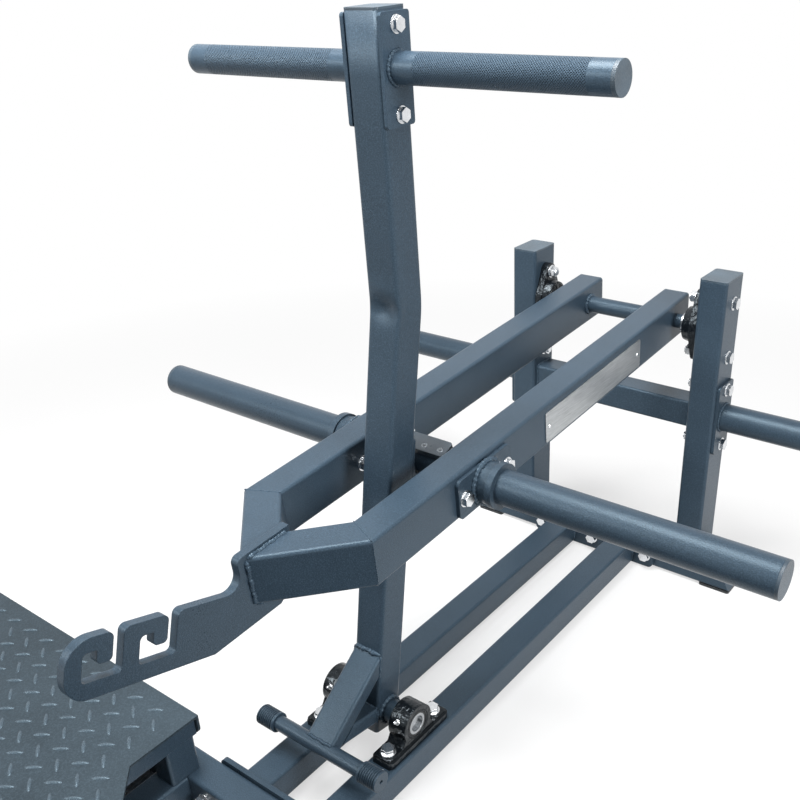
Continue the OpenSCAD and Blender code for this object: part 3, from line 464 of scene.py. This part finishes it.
def grained(name, colour, roughness, scale):
    """Rubber or plastic with its moulded grain."""
    finish = Finish(name, colour, roughness)
    grain = finish.cells(scale)
    cloud = finish.noise(25, 3, 0.5)
    stops = [(0.3, shade(colour, 0.8)), (0.7, shade(colour, 1.25))]
    finish.set("Base Color", finish.ramp(cloud, stops))
    finish.set("Roughness", roughness - 0.04 + cloud * 0.10)
    finish.relief(grain, 0.0004, 0.5, 0.0012)
    return finish.material


knurled = knurled_paint()
casting = cast_black()
zinc = plated("zinc_plate", (0.82, 0.84, 0.86), 0.20)
black_screws = plated("black_screws", (0.20, 0.22, 0.24), 0.26)
steel = turned_steel()
brushed = brushed_sheet()
rubber = grained("black_rubber", (0.013, 0.016, 0.019), 0.50, 700)
cap_plastic = grained("cap_plastic", (0.050, 0.080, 0.108), 0.32, 1100)
horn_plastic = grained("horn_cap_plastic", (0.034, 0.055, 0.076), 0.36, 1100)
seal_rubber = grained("seal_rubber", (0.010, 0.012, 0.014), 0.30, 1300)
pad_rubber = grained("pad_rubber", (0.024, 0.040, 0.056), 0.28, 900)

FINISHES = {
    "plate_paint": plate_paint,
    "frame_paint": frame_paint,
    "tread_plate": tread_paint,
    "black_casting": casting,
    "bright_steel": steel,
    "zinc": zinc,
    "brushed_plate": brushed,
    "black_rubber": rubber,
    "cap_plastic": cap_plastic,
}


def coat(obj, finish):
    obj.data.materials.clear()
    obj.data.materials.append(finish)


for part in frame["record"]["subparts"]:
    coat(nodes[part["node"]], FINISHES[part["material_slot"]])
for name in ("handle_left", "handle_right"):
    coat(nodes[name], knurled)
coat(nodes["rest_pad_screws"], black_screws)
coat(nodes["rest_pad"], pad_rubber)
for name in ("weight_horn_caps", "storage_horn_caps"):
    coat(nodes[name], horn_plastic)


# Making shapes
BEAD_SIDES = 8
STEPS_PER_RIPPLE = 4
# How fast a bead's thickness and line vary along it, in radians per metre
QUICK_DRIFT = 410
SLOW_DRIFT = 173
WANDER = 330


def close_up(bm):
    """Merges doubles and turns the faces outwards."""
    bmesh.ops.remove_doubles(bm, verts=bm.verts, dist=1e-6)
    bmesh.ops.recalc_face_normals(bm, faces=bm.faces)


def add(bm, shape, place):
    """Moves a small shape to its place in a larger one."""
    bmesh.ops.transform(shape, matrix=place, verts=shape.verts)
    mesh = bpy.data.meshes.new("shape")
    shape.to_mesh(mesh)
    shape.free()
    bm.from_mesh(mesh)
    bpy.data.meshes.remove(mesh)


def piece_of(bm, name, finish, body, sharp=35):
    """Makes a mesh into a piece that rides on a body."""
    close_up(bm)
    mesh = bpy.data.meshes.new(name)
    bm.to_mesh(mesh)
    bm.free()
    piece = bpy.data.objects.new(name, mesh)
    bpy.context.scene.collection.objects.link(piece)
    mesh.materials.append(finish)
    mesh.polygons.foreach_set("use_smooth", [True] * len(mesh.polygons))
    mesh.set_sharp_from_angle(angle=math.radians(sharp))
    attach(piece, body)
    return piece


def turned(profile, steps=48):
    """A shape turned round the X axis from points of (x, radius)."""
    bm = bmesh.new()
    verts = [bm.verts.new((x, 0, radius)) for x, radius in profile]
    edges = [bm.edges.new(pair) for pair in zip(verts, verts[1:])]
    bmesh.ops.spin(
        bm,
        geom=verts + edges,
        cent=(0, 0, 0),
        axis=(1, 0, 0),
        angle=FULL_TURN,
        steps=steps,
        use_merge=True,
    )
    close_up(bm)
    return bm


def carry(bm, ring, steps, along=(0, 0, 0), angle=0.0, centre=(0, 0, 0), whole=False):
    """Extends a ring of edges along a line or round the X axis."""
    result = bmesh.ops.spin(
        bm,
        geom=ring,
        cent=centre,
        axis=(1, 0, 0),
        dvec=along,
        angle=angle,
        steps=steps,
        use_merge=whole,
    )
    return result["geom_last"]


def bead_ring(bm, radius):
    verts = bmesh.ops.create_circle(bm, segments=BEAD_SIDES, radius=radius)["verts"]
    return verts + list({edge for vert in verts for edge in vert.link_edges})


def ripple(distance, pitch):
    """How thick a bead is, about 1 at the middle of a ripple and less between two."""
    wave = abs(math.sin(math.pi * distance / pitch))
    drift = math.sin(distance * QUICK_DRIFT) * math.sin(distance * SLOW_DRIFT + 1)
    return 0.70 + 0.30 * wave + 0.14 * drift


def straight_weld(bm, start, end, place, radius, pitch=0.0034):
    """A weld bead between two points."""
    start = Vector(start)
    run = Vector(end) - start
    steps = max(6, round(run.length / pitch * STEPS_PER_RIPPLE))
    bead = bmesh.new()
    carry(bead, bead_ring(bead, radius), steps, along=(0, 0, run.length / steps))
    for vert in bead.verts:
        ends = min(vert.co.z, run.length - vert.co.z) / radius
        size = ripple(vert.co.z, pitch) * min(1, 0.35 + 0.65 * ends)
        wander = radius * 0.25 * math.sin(vert.co.z * WANDER) * min(1, ends / 3)
        vert.co.x = vert.co.x * size + wander
        vert.co.y *= size
    bmesh.ops.holes_fill(bead, edges=bead.edges, sides=BEAD_SIDES)
    add(bm, bead, place @ shift(*start) @ run.to_track_quat("Z", "Y").to_matrix().to_4x4())


def ring_weld(bm, centre, radius, place, bead_radius, pitch):
    """A weld bead round a tube whose axis is X."""
    ripples = round(FULL_TURN * radius / pitch)
    bead = bmesh.new()
    ring = bead_ring(bead, bead_radius)
    bmesh.ops.transform(bead, matrix=shift(0, radius, 0), verts=bead.verts)
    carry(bead, ring, ripples * STEPS_PER_RIPPLE, angle=FULL_TURN, whole=True)
    for vert in bead.verts:
        angle = math.atan2(vert.co.z, vert.co.y) % FULL_TURN
        middle = Vector((0, radius * math.cos(angle), radius * math.sin(angle)))
        size = ripple(angle * radius, FULL_TURN * radius / ripples)
        vert.co = middle + (vert.co - middle) * size
    add(bm, bead, place @ shift(*centre))


# Welds


def lever_welds():
    """Beads round the horns, cross tube and shaft, at the hook plate and the mitres."""
    bm = bmesh.new()
    horn_x = LEVER_HALF + HORN_PLATE + 0.0006
    inner_x = LEVER_IN - 0.001
    hook_x = HOOK_HALF + 0.0002
    front_x = HOOK_HALF + 0.0008
    front_u = NOSE_FRONT_U + 0.0024
    corner_x = LEVER_HALF - 0.0002
    mitre_in_u = MITRE_U - 0.0204
    edge = BEAM_H / 2 - 0.0002
    low_edge = BEAM_H / 2 - 0.002
    flat = BEAM_H / 2 - TUBE_CORNER
    for side in SIDES:
        horn = (side * horn_x, -HORN_U, -HORN_DROP)
        cross = (side * inner_x, -CROSS_U, -HORN_DROP)
        ring_weld(bm, horn, SLEEVE_R + 0.0008, LEVER, 0.0048, 0.0068)
        ring_weld(bm, cross, CROSS_R + 0.0008, LEVER, 0.0036, 0.0054)
        ring_weld(bm, (side * inner_x, 0, 0), SHAFT_BODY_R + 0.001, LEVER, 0.0040, 0.0058)
        for level in (-edge, edge):
            near = (side * hook_x, -NOSE_BACK_U, level)
            far = (side * hook_x, -NOSE_FRONT_U, level)
            straight_weld(bm, near, far, LEVER, 0.0038, 0.0050)
            outer = (side * (LEVER_HALF - 0.001), -MITRE_U, level)
            inner = (side * (LEVER_IN + 0.001), -mitre_in_u, level)
            straight_weld(bm, outer, inner, LEVER, 0.0010, 0.0024)
        low = (side * front_x, -front_u, -low_edge)
        high = (side * front_x, -front_u, low_edge)
        straight_weld(bm, low, high, LEVER, 0.0037, 0.0050)
        low = (side * corner_x, -MITRE_U, -flat)
        high = (side * corner_x, -MITRE_U, flat)
        straight_weld(bm, low, high, LEVER, 0.0009)
    piece_of(bm, "lever_welds", weld_paint, "lever", 60)


def upright_welds():
    """Beads round the bosses and handles, and on the foot lever and its strut."""
    bm = bmesh.new()
    front = -UPRIGHT_HALF
    boss_x = UPRIGHT_HALF + 0.0012
    handle_x = UPRIGHT_HALF + HEAD_PLATE + 0.0006
    lever_low = FOOT_LEVER_TOP - FOOT_LEVER_T / math.cos(FOOT_SLOPE)
    strut_sides = (STRUT_TOP - FOOT_LEVER_T + 0.001, STRUT_TOP - 0.001)
    foot_y = front - FOOT_LEVER_RUN * math.cos(FOOT_SLOPE)
    foot_z = FOOT_LEVER_TOP - FOOT_LEVER_RUN * math.sin(FOOT_SLOPE)
    for side in SIDES:
        ring_weld(bm, (side * boss_x, 0, 0), BOSS_R + 0.0012, UPRIGHT, 0.0050, 0.0070)
        handle = (side * handle_x, 0, HANDLE_UP)
        ring_weld(bm, handle, HANDLE_R + 0.0004, HEAD, 0.0028, 0.0046)
        x = side * (UPRIGHT_HALF - 0.0002)
        for low, high in ((lever_low, FOOT_LEVER_TOP), strut_sides):
            straight_weld(bm, (x, front, low), (x, front, high), UPRIGHT, 0.0021)
        back = (x, foot_y + 0.004, foot_z - 0.007)
        straight_weld(bm, (x, foot_y, foot_z), back, UPRIGHT, 0.0022)
    wide = UPRIGHT_HALF - 0.0015
    top = FOOT_LEVER_TOP + 0.0012
    strut = STRUT_TOP + 0.0005
    straight_weld(bm, (-wide, front, top), (wide, front, top), UPRIGHT, 0.0044, 0.0062)
    straight_weld(bm, (-wide, foot_y, foot_z), (wide, foot_y, foot_z), UPRIGHT, 0.0030)
    straight_weld(bm, (-wide, front, strut), (wide, front, strut), UPRIGHT, 0.0024)
    piece_of(bm, "upright_welds", weld_paint, "upright", 60)


def base_welds():
    """Beads at the storage horns, the cross beam, the posts' feet and the rails' ends."""
    bm = bmesh.new()
    horn_x = POST_OUT + HORN_PLATE + 0.0006
    half_box = BASE_BOX / 2 - 0.0005
    near, far = POST_Y - half_box, POST_Y + half_box
    low, high = STORE_Z - half_box, STORE_Z + half_box
    half_foot = BEAM_H / 2 - 0.0005
    half_side = BEAM_H / 2 - 0.001
    half_rail = BASE_BOX / 2 - 0.0015
    rail_top = BASE_TOP - 0.0005
    rail_low, rail_high = BASE_TOP - 0.045, BASE_TOP - 0.002
    for side in SIDES:
        ring_weld(bm, (side * horn_x, POST_Y, STORE_Z), HORN_R + 0.0004, BASE, 0.0026, 0.0044)
        x = side * (POST_IN - 0.0006)
        for y in (near, far):
            straight_weld(bm, (x, y, low), (x, y, high), BASE, 0.0024)
        for z in (low, high):
            straight_weld(bm, (x, near, z), (x, far, z), BASE, 0.0024)
        inner, outer = side * (POST_IN + 0.001), side * (POST_OUT - 0.001)
        for y in (POST_Y - half_foot, POST_Y + half_foot):
            straight_weld(bm, (inner, y, BASE_TOP), (outer, y, BASE_TOP), BASE, 0.0026)
        for x in (inner, outer):
            front = (x, POST_Y - half_side, BASE_TOP)
            back = (x, POST_Y + half_side, BASE_TOP)
            straight_weld(bm, front, back, BASE, 0.0026)
        left, right = side * RAIL_X - half_rail, side * RAIL_X + half_rail
        for y in (RAIL_Y0, RAIL_Y1):
            straight_weld(bm, (left, y, rail_top), (right, y, rail_top), BASE, 0.0024)
            for x in (left - 0.0012, right + 0.0012):
                straight_weld(bm, (x, y, rail_low), (x, y, rail_high), BASE, 0.0024)
    piece_of(bm, "base_welds", weld_paint, "base", 60)


lever_welds()
upright_welds()
base_welds()


# Upright tube, with the hollow and the ridge in its front wall at the bend
HOLLOW_DEPTH = 0.0052
HOLLOW_REACH = 0.016
HOLLOW_W = 0.046
RIDGE_HEIGHT = 0.0012
RIDGE_REACH = 0.012
RIDGE_UP = 0.030
# Where the front wall starts, from the tube's centre line, and its full share
WALL_START = 0.010
WALL_RUN = 0.014
# How the front corners at the hollow go outwards, as a share, and back
CORNER_X = UPRIGHT_HALF - 0.006
CORNER_SPREAD = 0.05
CORNER_DEPTH = 0.0012
# Length of fine steps on each side of the bend, and the counts of steps
FINE = 0.060
FINE_STEPS = 24
BEND_STEPS = 14
LOWER_STEPS = 6
UPPER_STEPS = 4


def tube_outline(bm, side, corner, cuts):
    """Edges of a square with round corners, its sides cut into short runs."""
    bmesh.ops.create_grid(bm, x_segments=1, y_segments=1, size=side / 2)
    bmesh.ops.bevel(
        bm,
        geom=list(bm.verts),
        offset=corner,
        segments=5,
        profile=0.5,
        affect="VERTICES",
        material=-1,
    )
    bmesh.ops.delete(bm, geom=list(bm.faces), context="FACES_ONLY")
    long_edges = [edge for edge in bm.edges if edge.calc_length() > side / 2]
    bmesh.ops.subdivide_edges(bm, edges=long_edges, cuts=cuts)
    return list(bm.verts) + list(bm.edges)


def crush(vert):
    """Presses in the tube's front wall where the bend has crumpled it."""
    turn = 0.0
    if vert.co.z > BEND_START:
        turn = min(UPRIGHT_BEND, math.atan2(vert.co.z - BEND_START, vert.co.y + BEND_R))
    flat = BEND_CENTRE @ turn_x(-turn) @ BEND_CENTRE.inverted() @ vert.co
    along = flat.z - BEND_START + BEND_R * (turn - UPRIGHT_BEND / 2)
    hollow = math.exp(-((along / HOLLOW_REACH) ** 2))
    ridge = math.exp(-(((along - RIDGE_UP) / RIDGE_REACH) ** 2))
    across = max(0.0, math.cos(math.pi * vert.co.x / HOLLOW_W))
    front = min(1.0, max(0.0, (-flat.y - WALL_START) / WALL_RUN))
    flat.y += (HOLLOW_DEPTH * hollow - RIDGE_HEIGHT * ridge) * across * front
    if abs(vert.co.x) > CORNER_X:
        flat.x *= 1 + CORNER_SPREAD * hollow * front
        flat.y += CORNER_DEPTH * hollow * front
    vert.co = BEND_CENTRE @ turn_x(turn) @ BEND_CENTRE.inverted() @ flat


def bent_upright():
    """The tube in one length, in fine steps near its bend, where it is crushed."""
    bm = bmesh.new()
    ring = tube_outline(bm, 2 * UPRIGHT_HALF, TUBE_CORNER, cuts=11)
    bmesh.ops.translate(bm, vec=(0, 0, -UPRIGHT_TAIL), verts=bm.verts)
    straight_up = Vector((0, 0, 1))
    ahead = turn_x(UPRIGHT_BEND) @ straight_up
    lower = BEND_START - FINE + UPRIGHT_TAIL
    upper = UPPER_LEN - CAP_T - BEND_TANGENT - FINE
    ring = carry(bm, ring, LOWER_STEPS, along=straight_up * (lower / LOWER_STEPS))
    ring = carry(bm, ring, FINE_STEPS, along=straight_up * (FINE / FINE_STEPS))
    ring = carry(bm, ring, BEND_STEPS, angle=UPRIGHT_BEND, centre=BEND_CENTRE.translation)
    ring = carry(bm, ring, FINE_STEPS, along=ahead * (FINE / FINE_STEPS))
    carry(bm, ring, UPPER_STEPS, along=ahead * (upper / UPPER_STEPS))
    for vert in bm.verts:
        crush(vert)
    bmesh.ops.transform(bm, matrix=UPRIGHT, verts=bm.verts)
    piece = piece_of(bm, "bent_upright", frame_paint, "upright")
    wall = piece.modifiers.new("wall", "SOLIDIFY")
    wall.thickness = TUBE_WALL
    wall.offset = -1
    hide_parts("upright_tube")


def upright_bosses():
    """Sleeves on both sides of the tube, which hold its shaft."""
    bm = bmesh.new()
    root, tip, bore = UPRIGHT_HALF - 0.0005, 0.0468, 0.0122
    section = [(root, bore), (root, BOSS_R), (tip - 0.0010, BOSS_R), (tip, BOSS_R - 0.0010)]
    section += [(tip, bore + 0.0008), (tip - 0.0008, bore), (root, bore)]
    for side in SIDES:
        add(bm, turned([(side * x, radius) for x, radius in section], 64), UPRIGHT)
    piece_of(bm, "upright_bosses", frame_paint, "upright")


bent_upright()
upright_bosses()


# Foot grips
GROOVES = 8
GROOVE_PITCH = 0.0036
GROOVE_W = 0.0022
GROOVE_DEPTH = 0.0018
GROOVE_STEPS = 6


def grooved_grips():
    """Ends of the foot bar, turned with round grooves, and a centre hole outside."""
    edge, hole_r, hole_depth = 0.0009, 0.0028, 0.0045
    section = [(GRIP_IN, 0), (GRIP_IN, GRIP_R - 0.0008), (GRIP_IN + 0.0008, GRIP_R)]
    for groove in range(GROOVES):
        start = GRIP_IN + 0.0040 + groove * GROOVE_PITCH
        for step in range(GROOVE_STEPS + 1):
            angle = math.pi * step / GROOVE_STEPS
            across = GROOVE_W / 2 * (1 - math.cos(angle))
            section.append((start + across, GRIP_R - GROOVE_DEPTH * math.sin(angle)))
    section += [(GRIP_OUT - edge, GRIP_R), (GRIP_OUT, GRIP_R - edge)]
    section += [(GRIP_OUT, hole_r + 0.0004), (GRIP_OUT - 0.0005, hole_r)]
    section += [(GRIP_OUT - hole_depth, hole_r), (GRIP_OUT - hole_depth, 0)]
    bm = bmesh.new()
    for side in SIDES:
        grip = turned([(side * x, distance) for x, distance in section], 64)
        add(bm, grip, UPRIGHT @ shift(0, -BAR_REACH, -BAR_DROP))
    piece = piece_of(bm, "grooved_grips", plate_paint, "upright", 30)
    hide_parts("foot_grips")


grooved_grips()


# Bearings
PILLOW_R = 0.031
COLLAR_IN = 0.0176
COLLAR_R = 0.0150
# From a shape's X axis to straight up, and from there to the nipple's direction
UPWARDS = math.radians(-90)
NIPPLE_TURN = math.radians(60)
# Sections as points of (distance from the housing's middle, radius)
LIP = ((0.0137, 0.0172), (0.0146, 0.0172), (0.0149, 0.0177), (0.0144, 0.0186))
LIP += ((0.0147, 0.0194), (0.0142, 0.0199), (0.0137, 0.0199), (0.0137, 0.0172))
RACE = ((0.0137, 0.0200), (0.0150, 0.0200), (0.0153, 0.0203), (0.0153, 0.0224))
RACE += ((0.0150, 0.0228), (0.0137, 0.0228), (0.0137, 0.0200))


def bearing_seals():
    """Outer races and lip seals on both faces of the pillow blocks."""
    seals = bmesh.new()
    races = bmesh.new()
    for side in SIDES:
        place = shift(side * RAIL_X, FOOT_PIVOT_Y, FOOT_PIVOT_Z)
        for face in SIDES:
            add(seals, turned([(face * x, radius) for x, radius in LIP], 64), place)
            add(races, turned([(face * x, radius) for x, radius in RACE], 64), place)
    piece_of(seals, "pillow_seals", seal_rubber, "base")
    piece_of(races, "pillow_races", casting, "base")


def grease_nipples():
    """A nipple with a hexagonal foot and a ball end on each housing."""
    bm = bmesh.new()
    stem = [(0, 0), (0, 0.0026), (0.0015, 0.0026), (0.0040, 0.0021), (0.0052, 0.0016)]
    stem += [(0.0060, 0.0022), (0.0072, 0.0025), (0.0084, 0.0020), (0.0089, 0.0008), (0.0089, 0)]
    nut = [(0, 0), (0, 0.0048), (0.0026, 0.0048), (0.0030, 0.0042), (0.0030, 0)]
    for side in SIDES:
        housing = shift(side * RAIL_X, FOOT_PIVOT_Y, FOOT_PIVOT_Z)
        out = housing @ turn_x(NIPPLE_TURN) @ turn_y(UPWARDS)
        add(bm, turned(stem, 24), out @ shift(PILLOW_R + 0.0008, 0, 0))
        add(bm, turned(nut, 6), out @ shift(PILLOW_R - 0.0010, 0, 0))
    piece_of(bm, "grease_nipples", zinc, "base")


def ring_screws():
    """Set screws with a socket, in the collars of the pillow blocks' rings."""
    bm = bmesh.new()
    screw = [(0, 0), (0, 0.0019), (0.0023, 0.0019), (0.0026, 0.0016), (0.0026, 0.0010)]
    screw += [(0.0010, 0.0010), (0.0010, 0)]
    for side in SIDES:
        collar = shift(side * (RAIL_X - COLLAR_IN), 0, COLLAR_R)
        add(bm, turned(screw, 18), UPRIGHT @ collar @ turn_y(UPWARDS))
    piece_of(bm, "ring_screws", black_screws, "upright")


bearing_seals()
grease_nipples()
ring_screws()


# Tread
TREAD_X = -0.0226
TREAD_Y = DECK_Y0 - 0.0105
PITCH_X = 0.046
PITCH_Y = 0.0415
COLUMNS = 33
ROWS = 14
# Half length, half width and height of a raised bar
BAR_SIZE = (0.0128, 0.0031, 0.0021, 1)
# The two sets of bars: how far each is moved, in pitches, and its turn in degrees
BAR_SETS = ((0.0, 36), (0.5, -37))
# Room that the middle of a bar needs to the plate's sides, its ends and its cut-out
SIDE_ROOM = 0.012
END_ROOM = 0.011
GAP_ROOM = 0.014


def on_deck(x, y):
    """Whether a tread bar has room at this place."""
    if abs(x) > DECK_HALF - SIDE_ROOM:
        return False
    if not DECK_Y0 + END_ROOM < y < DECK_Y1 - END_ROOM:
        return False
    depth = DECK_Y1 - y
    gap = GAP_HALF - max(0.0, depth - GAP_STRAIGHT)
    return depth > GAP_DEPTH + SIDE_ROOM or abs(x) > gap + GAP_ROOM


def tread_bars():
    """Raised bars in two crossing rows over the platform."""
    bm = bmesh.new()
    for moved, angle in BAR_SETS:
        field = bmesh.new()
        bmesh.ops.create_uvsphere(field, u_segments=10, v_segments=4, radius=1)
        lower_half = [vert for vert in field.verts if vert.co.z < -0.1]
        bmesh.ops.delete(field, geom=lower_half, context="VERTS")
        start_x = TREAD_X + (moved - COLUMNS // 2) * PITCH_X
        start_y = TREAD_Y + moved * PITCH_Y
        bar = turn_z(math.radians(angle)) @ Matrix.Diagonal(BAR_SIZE)
        place = shift(start_x, start_y, DECK_Z) @ bar
        bmesh.ops.transform(field, matrix=place, verts=field.verts)
        for along, count in (((PITCH_X, 0, 0), COLUMNS), ((0, PITCH_Y, 0), ROWS)):
            bmesh.ops.spin(
                field,
                geom=list(field.verts) + list(field.edges) + list(field.faces),
                cent=(0, 0, 0),
                axis=(0, 0, 1),
                dvec=along,
                angle=0,
                steps=count,
                use_duplicate=True,
            )
        off_deck = []
        for vert in field.verts:
            x = start_x + round((vert.co.x - start_x) / PITCH_X) * PITCH_X
            y = start_y + round((vert.co.y - start_y) / PITCH_Y) * PITCH_Y
            if not on_deck(x, y):
                off_deck.append(vert)
        bmesh.ops.delete(field, geom=off_deck, context="VERTS")
        add(bm, field, BASE)
    piece_of(bm, "tread_bars", bar_paint_and_highlight, "base", 60)


tread_bars()


# Stage and light
FLOOR_HALF = 30
FLOOR_WHITE = (0.94, 0.94, 0.94, 1)
FLOOR_BOUNCE = (0.42, 0.42, 0.42, 1)
GLOW_START = 1.0
GLOW_END = 2.4
GLOW_LEAST = 0.6
WORLD_FILL = 0.11
# Name, place, target, size and power of each lamp
LAMPS = (
    ("overhead", (-0.25, -0.1, 2.35), (0, 0.05, 0.3), 1.1, 72),
    ("front_left", (-1.5, -2.1, 2.0), (0, -0.1, 0.3), 0.9, 36),
    ("right", (2.6, -0.2, 1.5), (0.1, 0.1, 0.5), 1.0, 60),
)


def floor_finish():
    """White that glows far from the machine, and takes its shadow near and under it."""
    finish = Finish("pale_floor", FLOOR_WHITE, 0.9)
    finish.set("Base Color", finish.blend(finish.seen(), FLOOR_BOUNCE, FLOOR_WHITE))
    distance = finish.node("ShaderNodeVectorMath", {"operation": "LENGTH"}, {0: finish.place()}, 1)
    along, across = finish.axis("Y"), finish.axis("X").size()
    back, front, edge = DECK_Y1 + 0.02, DECK_Y0 - 0.05, DECK_HALF + 0.05
    under_deck = (
        finish.between(along, back, back - 0.05)
        * finish.between(along, front, front + 0.15)
        * finish.between(across, edge, edge - 0.15)
    )
    far = finish.between(distance, GLOW_START, GLOW_END, GLOW_LEAST, 1.0)
    glow = finish.node("ShaderNodeEmission", values={"Color": (1, 1, 1, 1), "Strength": 1.0})
    lit = Value(finish, finish.shader.outputs[0])
    factor = far * (1 - under_deck) * finish.seen()
    mixed = finish.node("ShaderNodeMixShader", values={0: factor, 1: lit, 2: glow})
    finish.feed(finish.tree.nodes["Material Output"].inputs[0], mixed)
    return finish.material


def pale_floor():
    bm = bmesh.new()
    bmesh.ops.create_grid(bm, x_segments=2, y_segments=2, size=FLOOR_HALF)
    mesh = bpy.data.meshes.new("floor")
    bm.to_mesh(mesh)
    bm.free()
    floor = bpy.data.objects.new("floor", mesh)
    bpy.context.scene.collection.objects.link(floor)
    mesh.materials.append(floor_finish())


def lamp(name, place, target, size, power):
    light = bpy.data.lights.new(name, "AREA")
    light.size = size
    light.energy = power
    made = bpy.data.objects.new(name, light)
    made.location = place
    aim = Vector(target) - Vector(place)
    made.rotation_euler = aim.to_track_quat("-Z", "Y").to_euler()
    bpy.context.scene.collection.objects.link(made)


def studio():
    """Lamps and a faint even light, against a white background."""
    world = bpy.data.worlds.new("studio")
    bpy.context.scene.world = world
    world.use_nodes = True
    sky = Nodes(world.node_tree)
    background = world.node_tree.nodes["Background"]
    sky.feed(background.inputs[0], (1, 1, 1, 1))
    sky.feed(background.inputs[1], sky.seen().larger(WORLD_FILL))
    for name, place, target, size, power in LAMPS:
        lamp(name, place, target, size, power)


pale_floor()
studio()
bpy.context.scene.view_settings.view_transform = "Standard"
